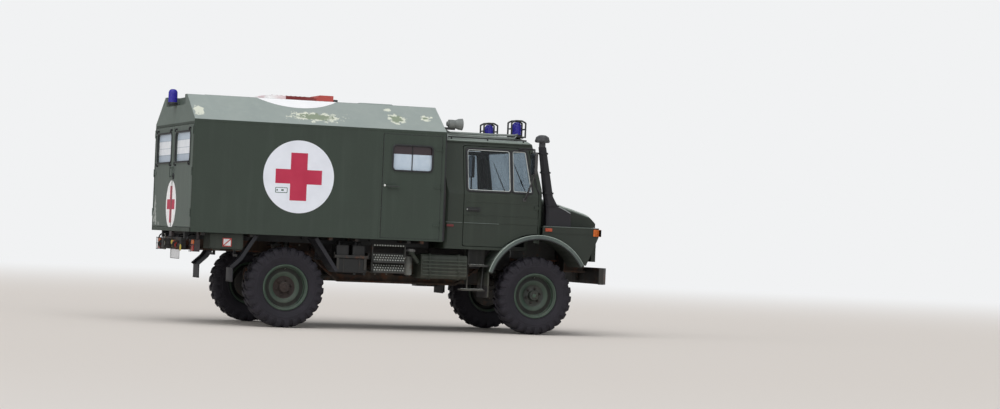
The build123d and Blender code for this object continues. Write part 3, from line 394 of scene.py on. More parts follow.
zinc = worn_paint("zinc-plated steel, dulled", "#5A5C59", "#6B6A63", "#8A897F", 0.45, grime=0.5, rust=0.2)
rail_x = np.concatenate([np.linspace(-2.55, -1.15, 8), np.linspace(1.35, 2.5, 7)])
rail_z = np.where(rail_x < 0, 1.015, 0.91)
rail_bolts = bolts([(x, -0.352, z) for x, z in zip(rail_x, rail_z)], (1, 0, 0), (0, 0, 1), 0.024)
low_bolts = bolts([(x, -0.352, 0.69) for x in np.linspace(-0.45, 0.75, 9)], (1, 0, 0), (0, 0, 1), 0.024)
add_piece("frame_bolts", both(joined(rail_bolts, low_bolts)), zinc, flat=True)
pipe_line = [(-2.4, 0.30, 1.062), (-1.02, 0.30, 1.062), (-0.62, 0.30, 0.734), (0.92, 0.30, 0.734),
             (1.25, 0.30, 0.957), (2.2, 0.30, 0.957)]
brake_pipes = [rod(bent(np.add(pipe_line, (0, shift, 0)), 0.05), 0.005, 8, (0, 1, 0))
               for shift in (0, 0.016, 0.032)]
add_piece("brake_pipes", joined(*brake_pipes), zinc)


# Coil springs and dampers.
# Wound from round spring steel, each spring stands between a pan on the axle and a seat bolted to the rail. The
# damper beside it is a painted tube whose rod slides up into a dust cover.
def helix(centre, low, high, radius, wire, turns):
    """A wire of round section along (r cos t, r sin t, height of t), its first and last turns closed up flat."""
    t = np.linspace(0, 2 * np.pi * turns, int(turns * 26))
    rise = np.clip((t / (2 * np.pi) - 0.8) / (turns - 1.6), 0, 1)
    path = np.stack([radius * np.cos(t), radius * np.sin(t), low + wire + (high - low - 2 * wire) * rise], -1)
    return rod(path + np.array([centre[0], centre[1], 0.0]), wire, 9, (0, 0, 1))


spring_steel = worn_paint("spring steel, black enamel", "#232527", "#2F3030", "#4A4943", 0.5, grime=0.6, rust=0.2)
front_axle, rear_axle, tube_z = 1.765, -1.485, 0.632
coils, seats_on_rail, dampers = [], [], []
# columns: place of the axle, underside of the rail there
for axle_x, rail_low in ((front_axle, 0.800), (rear_axle, 0.905)):
    top = rail_low + 0.100
    coils.append(helix((axle_x, 0.455), tube_z + 0.066, top, 0.049, 0.009, 6.5))
    seats_on_rail.append(box_part((axle_x - 0.08, 0.35, top), (axle_x + 0.08, 0.525, top + 0.016), 0.002, 0.02))
    seats_on_rail.append(box_part((axle_x - 0.012, 0.35, top + 0.010), (axle_x + 0.012, 0.52, rail_low + 0.15),
                                  0.002))
    foot, head = np.array([axle_x + 0.135, 0.560, tube_z]), np.array([axle_x + 0.135, 0.466, top + 0.040])
    run = head - foot
    dampers.append(rod([foot, foot + run * 0.62], 0.026, 16, (1, 0, 0)))
    dampers.append(rod([foot + run * 0.5, head], 0.033, 16, (1, 0, 0)))
    seats_on_rail.append(box_part((axle_x + 0.12, 0.35, top + 0.02), (axle_x + 0.15, 0.48, top + 0.05), 0.002))
springs = add_piece("coil_springs", both(joined(*coils)), spring_steel)
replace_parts(springs, "suspension")
add_piece("spring_seats", both(joined(*seats_on_rail)), chassis_black)
add_piece("dampers", both(joined(*dampers)), spring_steel)

# Exhaust.
# The silencer and its pipes are of bare sheet steel, stained by heat and rusting. The can's ends are rolled over its
# shell, and the outlet leaves on the left.
hot_steel = worn_paint("heat-stained sheet steel", "#4A4540", "#5B5148", "#7A7063", 0.55, grime=0.5, rust=0.6)
can_line = [(0.0, -0.334), (0.060, -0.332), (0.100, -0.322), (0.108, -0.316), (0.108, -0.306), (0.105, -0.300),
            (0.105, 0.300), (0.108, 0.306), (0.108, 0.316), (0.100, 0.322), (0.060, 0.332), (0.0, 0.334)]
inlet = [(0.320, 0.560, 0.800), (0.400, 0.545, 0.800), (0.690, 0.420, 0.800), (0.760, 0.200, 0.800)]
outlet = [(-0.320, 0.560, 0.800), (-0.400, 0.570, 0.790), (-0.540, 0.640, 0.745), (-0.600, 1.040, 0.740)]
exhaust = joined(turned(can_line, (0.0, 0.560, 0.800), "x", 64),
                 *[rod(bent(line, 0.06), 0.030, 24, (0, 0, 1)) for line in (inlet, outlet)])
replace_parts(add_piece("silencer_and_pipes", exhaust, hot_steel), "exhaust")

# Tyres.
# Cross-country tyres of black rubber, moulded with two rows of heavy staggered lugs whose ends run over the shoulder.
# Fine rings and a ridge against the rim stand out on the side wall; dust lies in the grooves.
rubber = bare_material("moulded tyre rubber, dusty")
place = add_node(rubber, "TexCoord").outputs["Object"]
cloud = add_node(rubber, "TexNoise", values={"Scale": 9.0, "Detail": 7.0, "Roughness": 0.65}, links={"Vector": place})
dusty = add_node(rubber, "MapRange", values={1: 0.45, 2: 0.75, 4: 0.5}, links={0: cloud.outputs["Fac"]}).outputs[0]
tint = add_node(rubber, "Mix", {"data_type": "RGBA"}, {6: hex_linear("#14111B"), 7: hex_linear("#2E2A33")},
                {0: dusty}).outputs[2]
grain = add_node(rubber, "TexNoise", values={"Scale": 260.0, "Detail": 3.0}, links={"Vector": place}).outputs["Fac"]
grit = add_node(rubber, "Bump", values={"Strength": 0.25, "Distance": 0.0015}, links={"Height": grain}).outputs[0]
worn = add_node(rubber, "MapRange", values={3: 0.62, 4: 0.9}, links={0: cloud.outputs["Fac"]}).outputs[0]
shader = add_node(rubber, "BsdfPrincipled", values={"IOR": 1.5},
                  links={"Base Color": tint, "Roughness": worn, "Normal": grit})
add_node(rubber, "OutputMaterial", links={"Surface": shader.outputs[0]})

lug_count = 26
# stations across half the tyre: offset and radius of the groove floor, offset and radius of the lug, all in metres
half = np.array([
    (0.000, 0.476, 0.000, 0.476), (0.005, 0.476, 0.005, 0.476), (0.008, 0.476, 0.0085, 0.493),
    (0.035, 0.476, 0.035, 0.4938), (0.039, 0.476, 0.039, 0.484), (0.043, 0.476, 0.043, 0.484),
    (0.047, 0.476, 0.047, 0.4934), (0.090, 0.474, 0.090, 0.4920), (0.116, 0.468, 0.120, 0.4885),
    (0.130, 0.452, 0.134, 0.4790), (0.138, 0.440, 0.150, 0.4500), (0.144, 0.425, 0.1545, 0.4280),
    (0.1480, 0.410, 0.1550, 0.4120), (0.1500, 0.402, 0.1530, 0.4040), (0.1515, 0.398, 0.1520, 0.398),
    (0.1538, 0.394, 0.1538, 0.394), (0.1522, 0.390, 0.1522, 0.390), (0.1535, 0.372, 0.1535, 0.372),
    (0.1548, 0.369, 0.1548, 0.369), (0.1530, 0.365, 0.1530, 0.365), (0.1500, 0.342, 0.1500, 0.342),
    (0.1430, 0.318, 0.1430, 0.318), (0.1350, 0.302, 0.1350, 0.302), (0.1345, 0.297, 0.1345, 0.297),
    (0.1375, 0.293, 0.1375, 0.293), (0.1360, 0.288, 0.1360, 0.288), (0.1265, 0.284, 0.1265, 0.284),
    (0.1200, 0.276, 0.1200, 0.276), (0.1090, 0.266, 0.1090, 0.266), (0.0900, 0.262, 0.0900, 0.262),
])
# stations along one pitch: how far along it, and how much of the lug's height
along_pitch = np.array([0.00, 0.08, 0.15, 0.195, 0.225, 0.255, 0.38, 0.50, 0.62, 0.745, 0.775, 0.805, 0.85, 0.92])
lift = np.array([0, 0, 0, 0, 0.93, 1, 1, 1, 1, 1, 0.93, 0, 0, 0], float)


def tyre_part(centre, outward):
    """Tyre: radius = floor + lift * (lug - floor) over stations round and across, each row slewed round the axle."""
    row = np.concatenate([(half * (-1, 1, -1, 1))[::-1], half[1:]])
    out = np.abs(row[:, 0])
    slew = np.sign(row[:, 0]) * (0.25 + 0.30 * np.clip(out / 0.12, 0, 1)) * np.minimum(1, out / 0.008)
    pitch = 2 * np.pi / lug_count
    station = (np.arange(lug_count)[:, None] + along_pitch[None, :]).reshape(-1, 1)
    angle = (station + slew[None, :] + 0.25) * pitch - np.pi / 2
    height = np.tile(lift, lug_count)[:, None]
    radius = row[:, 1] + height * (row[:, 3] - row[:, 1])
    offset = row[:, 0] + height * (row[:, 2] - row[:, 0])
    points = np.stack([radius * np.cos(angle), offset * outward, radius * np.sin(angle)], -1) + np.asarray(centre)
    return points.reshape(-1, 3), quads(len(angle), len(row), True, True).tolist()


# offset of the wheels' middles from the truck's middle, and their height
wheel_y, wheel_z = 0.93, 0.494
wheels = {"front_left": (front_axle, 1), "front_right": (front_axle, -1), "rear_left": (rear_axle, 1),
          "rear_right": (rear_axle, -1)}
for corner, (x, side) in wheels.items():
    tyre = add_piece("tyre_tread_" + corner, tyre_part((x, wheel_y * side, wheel_z), side), rubber, "wheel_" + corner)
    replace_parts(tyre, "tyre_" + corner)

# Wheels, hub nuts and hub caps.
# Each wheel is a rolled rim welded to a pressed disc with a raised ring. Six studs and nuts hold it, and a forged cap
# closes the hub. The rim's outer edge is rolled over the tyre's bead, and its paint is the most rubbed and is painted
# lighter still for a highlight; painted shade with caked dirt darkens the groove inside it.
wheel_line = np.array([
    (0.0, 0.0915), (0.0300, 0.0912), (0.0560, 0.0895), (0.0630, 0.0820), (0.0655, 0.0700), (0.0670, 0.0370),
    (0.0720, 0.0335), (0.1120, 0.0325), (0.1280, 0.0350), (0.1380, 0.0410), (0.1600, 0.0525), (0.1800, 0.0598),
    (0.1920, 0.0600), (0.2050, 0.0555), (0.2320, 0.0495), (0.2430, 0.0520), (0.2455, 0.0560), (0.2460, 0.1000),
    (0.2485, 0.1120), (0.2620, 0.1235), (0.2680, 0.1262), (0.2725, 0.1240), (0.2700, 0.1200), (0.2550, 0.1080),
    (0.2550, -0.1080), (0.2700, -0.1200), (0.2720, -0.1240), (0.2620, -0.1220), (0.2440, -0.1100), (0.2440, 0.0330),
    (0.1800, 0.0390), (0.1280, 0.0130), (0.0600, 0.0130), (0.0600, -0.0350), (0.0, -0.0350)])
wheel_green = worn_paint("olive green wheel paint", "#22342A", "#2C4034", "#4C5E50", 0.5, grime=0.15)
# the rim's lip: rubbed paint, lighter still for a painted highlight
rubbed_and_lit_green = worn_paint("olive green wheel paint, rubbed", "#2C4034", "#384D3F", "#56675A", 0.5, grime=0.1)
# the groove's paint: painted shade, with caked dirt
groove_shade_and_dirt = worn_paint("wheel paint darkened by painted shade and caked dirt", "#0D120F", "#151A16", "#262B26", 0.7, 0.1, grime=0.1)
hub_green = worn_paint("hub paint, greasy", "#1B211C", "#252B25", "#3E453C", 0.5, grime=0.1)
hub_rust = worn_paint("rusted forged steel", "#241E1D", "#332925", "#4C3E38", 0.8, grime=0.0)
cap_turn = np.arange(6) * np.pi / 3
stud_turn = cap_turn + 0.26


def spots_of(elements, what):
    """Points of a mesh's vertices ("co") or of its faces ("center"), as rows."""
    spots = np.empty(3 * len(elements))
    elements.foreach_get(what, spots)
    return spots.reshape(-1, 3)


def ring_at(hub, side, turn, radius, depth):
    """Spots on a circle round the hub's axis, at a depth outwards."""
    return hub + np.stack([radius * np.cos(turn), 0 * turn + depth * side, radius * np.sin(turn)], -1)


for corner, (x, side) in wheels.items():
    hub = np.array([x, wheel_y * side, wheel_z])
    disc = add_piece("wheel_disc_" + corner, turned(wheel_line * (1, side), hub, "y", 96), wheel_green,
                     "wheel_" + corner)
    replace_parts(disc, "rim_" + corner)
    away = np.hypot(*(spots_of(disc.data.polygons, "center") - hub)[:, (0, 2)].T)
    disc.data.materials.append(groove_shade_and_dirt)
    disc.data.materials.append(hub_rust if corner.startswith("rear") else hub_green)
    # painted shade and caked dirt darken the groove between the disc's ring and the flange, and grease or rust covers
    # the hub
    bands = np.where((away > 0.198) & (away < 0.2445), 1, np.where(away < 0.133, 2, 0))
    disc.data.polygons.foreach_set("material_index", bands.astype(np.int32))
    across = (-side, 0, 0)
    heads = [bolts(ring_at(hub, side, turn, radius, depth), across, (0, 0, 1), size, height)
             for turn, radius, depth, size, height in ((stud_turn, 0.094, 0.032, 0.030, 0.020),
                                                       (stud_turn, 0.094, 0.050, 0.016, 0.014),
                                                       (cap_turn, 0.040, 0.0895, 0.012, 0.005))]
    add_piece("hub_nuts_" + corner, joined(*heads), hub_rust, "wheel_" + corner, flat=True)
    plug = [(0.0, 0.100 * side), (0.020, 0.0995 * side), (0.024, 0.096 * side), (0.026, 0.086 * side)]
    add_piece("hub_plug_" + corner, turned(plug, hub, "y", 24),
              hub_rust if corner.startswith("rear") else rubbed_and_lit_green, "wheel_" + corner)
    a = np.linspace(0, 2 * np.pi, 13)[:-1]
    lip = np.stack([0.2735 + 0.0105 * np.cos(a), side * (0.1285 + 0.0085 * np.sin(a))], -1)
    lip = turned(np.concatenate([lip, lip[:1]]), hub, "y", 64)
    bead = np.stack([0.2455 + 0.0045 * np.cos(a), side * (0.0560 + 0.0045 * np.sin(a))], -1)
    bead = turned(np.concatenate([bead, bead[:1]]), hub, "y", 64)
    add_piece("rim_lip_" + corner, joined(lip, bead), rubbed_and_lit_green, "wheel_" + corner)
    valve = rod([hub + (0.0, side * 0.052, 0.222), hub + (0.0, side * 0.092, 0.232)], 0.004, 8, (1, 0, 0))
    add_piece("valve_" + corner, valve, zinc, "wheel_" + corner)

# Window glass.
# Flat toughened panes, faintly grey-green, with a thin film of dust that the light catches.
glass = bare_material("toughened window glass")
place = add_node(glass, "TexCoord").outputs["Object"]
film = add_node(glass, "TexNoise", values={"Scale": 2.2, "Detail": 3.0}, links={"Vector": place}).outputs["Fac"]
smear = add_node(glass, "MapRange", values={3: 0.02, 4: 0.08}, links={0: film}).outputs[0]
# only the face towards the eye mirrors: from behind, the layer would shut at a slant
slant = add_node(glass, "LayerWeight", values={"Blend": 0.3}).outputs["Fresnel"]
near_face = add_node(glass, "Math", {"operation": "SUBTRACT"}, {0: 1.0},
                     {1: add_node(glass, "NewGeometry").outputs["Backfacing"]}).outputs[0]
mirrored = add_node(glass, "Math", {"operation": "MULTIPLY"}, links={0: slant, 1: near_face}).outputs[0]
sheen = add_node(glass, "BsdfPrincipled", values={"Base Color": hex_linear("#E4EAEE"), "Metallic": 1.0},
                 links={"Roughness": smear})
tinted = add_node(glass, "BsdfTransparent", values={"Color": hex_linear("#D2D8DC")})
pane_mix = add_node(glass, "MixShader", links={0: mirrored, 1: tinted.outputs[0], 2: sheen.outputs[0]})
add_node(glass, "OutputMaterial", links={"Surface": pane_mix.outputs[0]})
for name in ("cab_glass", "cab_door_glass_left", "cab_door_glass_right"):
    coat_node(name, glass)


# Rubber seals round the windows.
# Extruded black rubber, pressed over the edge of the panel and the pane; it stands 10 mm proud and has gone grey.
def moulded(name, colour, other, roughness, scale=30.0, bump=0.15, fine=500.0, masks=None):
    """Moulded rubber or plastic: two close tones in soft clouds, and a fine grain."""
    material = bare_material(name)
    place = add_node(material, "TexCoord").outputs["Object"]
    cloud = add_node(material, "TexNoise", values={"Scale": scale, "Detail": 6.0},
                     links={"Vector": place}).outputs["Fac"]
    spread = add_node(material, "MapRange", values={1: 0.35, 2: 0.7}, links={0: cloud}).outputs[0]
    tint = add_node(material, "Mix", {"data_type": "RGBA"}, {6: hex_linear(colour), 7: hex_linear(other)},
                    {0: spread}).outputs[2]
    if masks:
        tint = masks(material, place, tint)
    grain = add_node(material, "TexNoise", values={"Scale": fine, "Detail": 2.0},
                     links={"Vector": place}).outputs["Fac"]
    relief = add_node(material, "Bump", values={"Strength": bump, "Distance": 0.001},
                      links={"Height": grain}).outputs[0]
    rough = add_node(material, "MapRange", values={3: roughness - 0.06, 4: roughness + 0.12},
                     links={0: cloud}).outputs[0]
    shader = add_node(material, "BsdfPrincipled", links={"Base Color": tint, "Roughness": rough, "Normal": relief})
    add_node(material, "OutputMaterial", links={"Surface": shader.outputs[0]})
    return material


def set_in(points, corner, u_axis, v_axis):
    """Points (u, v) placed in space: corner + u * its axis + v * its axis."""
    points, u, v = np.asarray(points, float), np.asarray(u_axis, float), np.asarray(v_axis, float)
    return np.asarray(corner, float) + points[:, :1] * u + points[:, 1:] * v


def rect(u0, u1, v0, v1):
    """Corners of a rectangle, counted anticlockwise."""
    return [(u0, v0), (u1, v0), (u1, v1), (u0, v1)]


seal_rubber = moulded("extruded seal rubber", "#16171A", "#26272A", 0.6)
dark_plastic = moulded("black moulded plastic", "#1B1A1E", "#2B2A2E", 0.5)
# half of a rounded bead: across the pane's edge, and out from the panel
seal_section = [(-0.012, -0.012), (0.016, -0.002), (0.017, 0.006), (0.010, 0.0115), (-0.004, 0.0115), (-0.011, 0.006),
                (-0.013, -0.004)]
cab_lean = np.array([0.0, 0.130, 0.665]) / 0.665
cab_face = np.array([0.0, -0.665, 0.130]) / np.hypot(0.665, 0.130)
cab_side = np.array([0.0, -1.080, 1.740]) - 1.740 * cab_lean
cab_panes = (rounded(rect(0.805, 1.381, 1.785, 2.312), 0.042),
             rounded([(1.405, 1.785), (1.668, 1.785), (1.592, 2.312), (1.405, 2.312)], 0.030))
pane_seals = joined(*[carried(set_in(pane, cab_side, (1, 0, 0), cab_lean), seal_section, cab_face)
                      for pane in cab_panes])
add_pair("cab_window_seals", pane_seals, seal_rubber, "cab_door")
# a bright strip is let into the seal's inner lip
strip = [(-0.0165, 0.0015), (-0.0085, 0.0015), (-0.0085, 0.0100), (-0.0165, 0.0070)]
bright = moulded("bright sealing strip", "#A7ACAA", "#BABFBC", 0.35)
strips = joined(*[carried(set_in(pane, cab_side, (1, 0, 0), cab_lean), strip, cab_face) for pane in cab_panes])
add_pair("cab_window_strip", strips, bright, "cab_door")
screen_lean = np.array([-0.135, 0.0, 0.665]) / 0.665
screen_face = np.array([0.665, 0.0, 0.135]) / np.hypot(0.665, 0.135)
screen_foot = np.array([1.815, 0.0, 1.740]) - 1.740 * screen_lean
screen = rounded([(-0.935, 1.80), (0.935, 1.80), (0.850, 2.325), (-0.850, 2.325)], 0.060)
add_piece("windscreen_seal", carried(set_in(screen, screen_foot, (0, 1, 0), screen_lean), seal_section, screen_face),
          seal_rubber)
hatch = rounded(rect(-0.42, 0.42, 1.72, 2.12), 0.05)
add_piece("cab_hatch_seal", carried(set_in(hatch, (0.515, 0, 0), (0, -1, 0), (0, 0, 1)), seal_section, (-1, 0, 0)),
          seal_rubber)
side_pane = rounded(rect(-0.215, 0.298, 1.990, 2.303), 0.050)
slim_seal = np.array(seal_section) * 0.72
add_piece("side_door_seal", carried(set_in(side_pane, (0, -1.180, 0), (1, 0, 0), (0, 0, 1)), slim_seal, (0, -1, 0)),
          seal_rubber, "side_door")
left_pane = rounded(rect(-0.330, 0.230, 1.960, 2.300), 0.050)
add_piece("left_window_seal", carried(set_in(left_pane, (0, 1.175, 0), (1, 0, 0), (0, 0, 1)), slim_seal * (-1, 1),
                                      (0, 1, 0)), seal_rubber)
rear_pane = rounded(rect(0.120, 1.000, 1.985, 2.355), 0.060)
rear_seal = carried(set_in(rear_pane, (-2.728, 0, 0), (0, 1, 0), (0, 0, 1)), slim_seal * (-1, 1), (-1, 0, 0))
add_piece("rear_window_seal_left", rear_seal, seal_rubber, "rear_door_left")
add_piece("rear_window_seal_right", opposite(rear_seal), seal_rubber, "rear_door_right")
coat_node("bellows", seal_rubber)

# Films on the box windows.
# The box's panes are screened from inside by pale film: on the side door it covers the lower part, under a dark red
# blind; on the rear windows it covers the whole pane, and its folds show as grey bands. The rear panes' near-white is
# partly a painted reflection of the sky.
def within(material, place, low, high):
    """1 inside a block of space and 0 outside: the product of a comparison for each direction."""
    split = add_node(material, "SeparateXYZ", links={0: place})
    factor = None
    for axis, (a, b) in enumerate(zip(low, high)):
        inside = add_node(material, "Math", {"operation": "COMPARE"}, {1: (a + b) / 2, 2: (b - a) / 2},
                          {0: split.outputs[axis]}).outputs[0]
        factor = inside if factor is None else add_node(material, "Math", {"operation": "MULTIPLY"},
                                                        links={0: factor, 1: inside}).outputs[0]
    return factor


def painted_within(material, place, colour, low, high, code):
    """The colour, with another laid over it inside a block of space."""
    return painted_over(material, colour, within(material, place, low, high), code)


def side_film(material, place, colour):
    """Dark red above the film's upper edge on the side door, and on the left pane."""
    for low, high in (((-0.4, -1.2, 2.196), (0.4, -1.1, 2.4)), ((-0.4, 1.1, 2.160), (0.4, 1.2, 2.4))):
        colour = painted_within(material, place, colour, low, high, "#33262B")
    return colour


def rear_film(material, place, colour):
    """A bluer stretch along the top of the rear film, folds below it, and a grey-blue stretch at the foot."""
    for low, high, code in ((1.90, 2.075, "#BAC6D4"), (2.075, 2.085, "#A2AEBA"), (2.160, 2.168, "#C9D2DC"),
                            (2.255, 2.263, "#AAB7C5"), (2.263, 2.40, "#C4D2E1")):
        colour = painted_within(material, place, colour, (-2.8, -1.2, low), (-2.6, 1.2, high), code)
    return colour


side_screen = moulded("pane with pale film behind it", "#B9C9D8", "#C6D3E0", 0.2, 12.0, 0.02, masks=side_film)
coat_node("side_door_glass", side_screen)
coat_node("box_glass", side_screen)
# near-white film, whitened partly as a painted reflection of the sky
rear_screen_and_sky = moulded("rear pane with folded film behind it", "#F2F6FC", "#FAFCFF", 0.2, 12.0, 0.02, masks=rear_film)
coat_node("rear_door_glass_left", rear_screen_and_sky)
coat_node("rear_door_glass_right", rear_screen_and_sky)
divider = box_part((0.033, -1.1655, 1.990), (0.043, -1.1475, 2.303), 0.002)
add_piece("side_window_divider", divider, seal_rubber, "side_door")


# Box side walls and edges.
# Flat laminate panels in the body's green. Folded steel strips, riveted on, cover the edges at the eave, the corners
# and the floor.
def blot(material, place, centre, radii, ragged, fine):
    """1 in a ragged spot and 0 outside it: the length of (place - centre) / radii, pushed about by noise."""
    shift = [-c / r for c, r in zip(centre, radii)]
    local = add_node(material, "Mapping", values={"Location": shift, "Scale": [1 / r for r in radii]},
                     links={"Vector": place}).outputs[0]
    noise = add_node(material, "TexNoise", values={"Scale": fine, "Detail": 6.0, "Roughness": 0.7},
                     links={"Vector": place}).outputs["Fac"]
    push = add_node(material, "MapRange", values={1: 0.3, 2: 0.7, 3: -ragged, 4: ragged}, links={0: noise}).outputs[0]
    far = add_node(material, "VectorMath", {"operation": "LENGTH"}, links={0: local}).outputs["Value"]
    moved_out = add_node(material, "Math", {"operation": "ADD"}, links={0: far, 1: push}).outputs[0]
    return add_node(material, "MapRange", values={1: 1.0, 2: 0.86}, links={0: moved_out}).outputs[0]


laminate = "#C9CCC4"


def body_green(name, masks=None, shades=("#29352C", "#303C33", "#444F47"), **more):
    """The truck's green in its usual state."""
    usual = {"roughness": 0.56, "scuffed": 0.15, "grime": 0.40, "grime_top": 1.10, "masks": masks, **more}
    return worn_paint(name, *shades, **usual)


def box_marks(material, place, colour):
    """Pale laminate inside the box, and black enamel on the bearers below its floor."""
    colour = painted_within(material, place, colour, (-2.8, -0.76, 0.9), (0.5, 0.76, 1.1285), "#1E2022")
    return painted_within(material, place, colour, (-2.700, -1.160, 1.160), (0.455, 1.160, 2.790), laminate)


def door_scuffs(material, place, colour):
    """Chipped white spots low on the outer edge of the left rear door, and pale laminate on the inner faces."""
    for centre, radii in (((-2.722, 1.03, 1.40), (0.05, 0.05, 0.13)), ((-2.722, 1.08, 1.28), (0.05, 0.10, 0.05)),
                          ((-2.722, 0.96, 1.25), (0.05, 0.05, 0.05)), ((-2.722, 0.80, 1.22), (0.05, 0.03, 0.02))):
        spot = blot(material, place, centre, radii, 1.3, 22.0)
        half = add_node(material, "Math", {"operation": "MULTIPLY"}, {1: 0.6}, {0: spot}).outputs[0]
        colour = painted_over(material, colour, half, "#B9BDB9")
    return painted_within(material, place, colour, (-2.690, -1.160, 1.160), (0.455, 1.160, 2.790), laminate)


laminate_green = body_green("olive green paint over laminate", box_marks)
# the rear doors' green is lighter than the sides': painted light on the rear face, which faces the bright sky
lit_door_green = worn_paint("olive green paint, chalked by the sun", "#505A54", "#5A645E", "#6D7670", 0.62, 0.2, 0.2,
                        1.15, masks=door_scuffs)
coat_node("box_shell", laminate_green)
coat_node("side_door", laminate_green)
coat_node("rear_door_left", lit_door_green)
coat_node("rear_door_right", lit_door_green)

edge_green = body_green("olive green paint on folded strip", scuffed=0.45)
rivet = turned([(0.0, 0.0030), (0.0030, 0.0022), (0.0045, 0.0)], (0, 0, 0), "z", 7)


def rivets(places, facing):
    """Flat domes at the places, which stand out backwards ("-x") or to the right ("-y")."""
    points = -np.asarray(rivet[0], float)[:, {"-y": (0, 2, 1), "-x": (2, 1, 0)}[facing]]
    return joined(*[placed((points, rivet[1]), spot) for spot in places])


eave_strip = box_part((-2.7235, -1.1785, 2.468), (0.4715, -1.1738, 2.4975), 0.0012)
foot_strip = box_part((-2.7235, -1.1785, 1.1285), (0.4715, -1.1738, 1.1480), 0.0012)
corner_strips = [box_part((x, -1.1780, 1.1485), (x + 0.040, -1.1738, 2.4675), 0.0012) for x in (-2.7235, 0.4315)]
strip_x = np.arange(-2.66, 0.46, 0.115)
strip_rivets = rivets([(x, -1.1785, 2.483) for x in strip_x] + [(x, -1.1785, 1.1385) for x in strip_x]
                      + [(-2.704, -1.1780, z) for z in np.arange(1.2, 2.46, 0.115)], "-y")
add_piece("box_edge_strips", both(joined(eave_strip, foot_strip, *corner_strips)), edge_green,
          flat=True)
add_piece("box_rivets", both(strip_rivets), edge_green)
rear_posts = [box_part((-2.7250, -1.1740, 1.1290), (-2.7215, -1.1370, 2.4460), 0.0012),
              box_part((-2.7250, -1.1740, 1.1290), (-2.7215, 1.1740, 1.1780), 0.0012)]
add_piece("rear_frame_strips", joined(rear_posts[0], opposite(rear_posts[0]), rear_posts[1]), edge_green,
          flat=True)

# Roof of the box.
# Sheet laid over the box and folded down both slopes. Sun and years have chalked its green, and a painted sky sheen
# pales it almost to grey; where the paint has scaled off, a white rim of filler stands round the bare olive ground
# coat.

# columns: middle, reach, share of it that is bare ground coat
roof_scuffs = (((-2.64, -0.99, 2.60), (0.055, 0.12, 0.10), 0.1), ((-1.17, -1.00, 2.60), (0.30, 0.14, 0.072), 0.74),
               ((-0.12, -0.94, 2.635), (0.10, 0.16, 0.065), 0.80), ((0.27, -0.90, 2.665), (0.075, 0.10, 0.040), 0.5),
               ((-0.19, -0.74, 2.745), (0.060, 0.10, 0.022), 0.1), ((-0.70, 0.95, 2.63), (0.12, 0.12, 0.06), 0.7),
               ((-2.1, 0.85, 2.68), (0.10, 0.12, 0.05), 0.6))


def roof_marks(material, place, colour):
    """White-rimmed scaled spots on both slopes, pale laminate inside, painted light on the gable and shade in its
    recess.
    """
    for centre, radii, core in roof_scuffs:
        rim = blot(material, place, centre, radii, 0.85, 13.0)
        colour = painted_over(material, colour, rim, "#D9DCCC")
        ground = blot(material, place, centre, [r * core for r in radii], 0.55, 17.0)
        colour = painted_over(material, colour, ground, "#87937C")
    # the gable, paler for painted light, then the fan's housing in white and red, the box before it and the black knob
    for low, high, code in (((-2.80, -1.2, 2.44), (-2.718, 1.2, 2.83), "#636E68"),
                            ((-1.66, -0.36, 2.8165), (-1.02, 0.36, 2.95), "#EDEDEC"),
                            ((-1.40, -0.37, 2.8165), (-1.02, 0.37, 2.95), "#7A2E2C"),
                            ((-0.99, -0.26, 2.8165), (-0.74, 0.26, 2.95), "#B04A42"),
                            ((-0.735, -0.1, 2.8165), (-0.60, 0.1, 2.95), "#34383A")):
        colour = painted_within(material, place, colour, low, high, code)
    inside = within(material, place, (-2.600, -1.160, 1.160), (0.455, 1.160, 2.780))
    below = add_node(material, "Math", {"operation": "LESS_THAN"}, {1: 0.2}, {0: facing_up(material)}).outputs[0]
    inside = add_node(material, "Math", {"operation": "MULTIPLY"}, links={0: inside, 1: below}).outputs[0]
    colour = painted_over(material, colour, inside, laminate)
    # painted shade in the recess that the rear beacon stands in
    return painted_within(material, place, colour, (-2.80, -0.60, 2.697), (-2.50, 0.60, 2.812), "#515B55")


# chalked paint, paler still as a painted sheen of the sky on the slopes
roof_chalk_and_sheen = worn_paint("olive green roof paint, chalked", "#8F9995", "#99A39F", "#A8B1AD", 0.62, 0.3, 0.0, 1.15,
                        masks=roof_marks)
coat_node("box_roof", roof_chalk_and_sheen)
seams = [box_part((x - 0.012, -0.655, 2.8155), (x + 0.012, 0.655, 2.8200), 0.0015) for x in (-1.95, 0.10)]
ridge = [box_part((-2.50, y - 0.012, 2.8155), (0.470, y + 0.012, 2.8195), 0.0015) for y in (-0.640, 0.640)]
hatch_lid = box_part((-0.42, -0.30, 2.8150), (0.02, 0.30, 2.8480), 0.008, 0.05)
hatch_rim = box_part((-0.45, -0.33, 2.8140), (0.05, 0.33, 2.8260), 0.003, 0.06)
lid_clasps = [box_part((-0.47, y - 0.02, 2.816), (-0.415, y + 0.02, 2.842), 0.003) for y in (-0.18, 0.18)]
add_piece("roof_seams", joined(*seams, *ridge, hatch_lid, hatch_rim, *lid_clasps), roof_chalk_and_sheen,
          flat=True)
fan_louvres = [box_part((x - 0.012, -0.28, 2.8775), (x + 0.012, 0.28, 2.8835), 0.001)
               for x in np.arange(-1.56, -1.10, 0.06)]
red_oxide = worn_paint("red oxide paint, dusty", "#6E2B28", "#84403A", "#9B625A", 0.6, grime=0.0)
add_piece("fan_louvres", joined(*fan_louvres), red_oxide, flat=True)

# Red cross signs.
# White reflective foil on both sides, on the roof and across the rear doors, each with a red cross of foil on top.
white_foil = moulded("white sign foil, dusty", "#E8ECF5", "#DFE3EC", 0.45, 5.0, 0.03)
sky_foil = moulded("white sign foil, chalked", "#F0F0F2", "#F6F6F6", 0.5, 5.0, 0.03)
red_foil = moulded("red sign foil", "#B41E44", "#BC2A4C", 0.45, 5.0, 0.03)


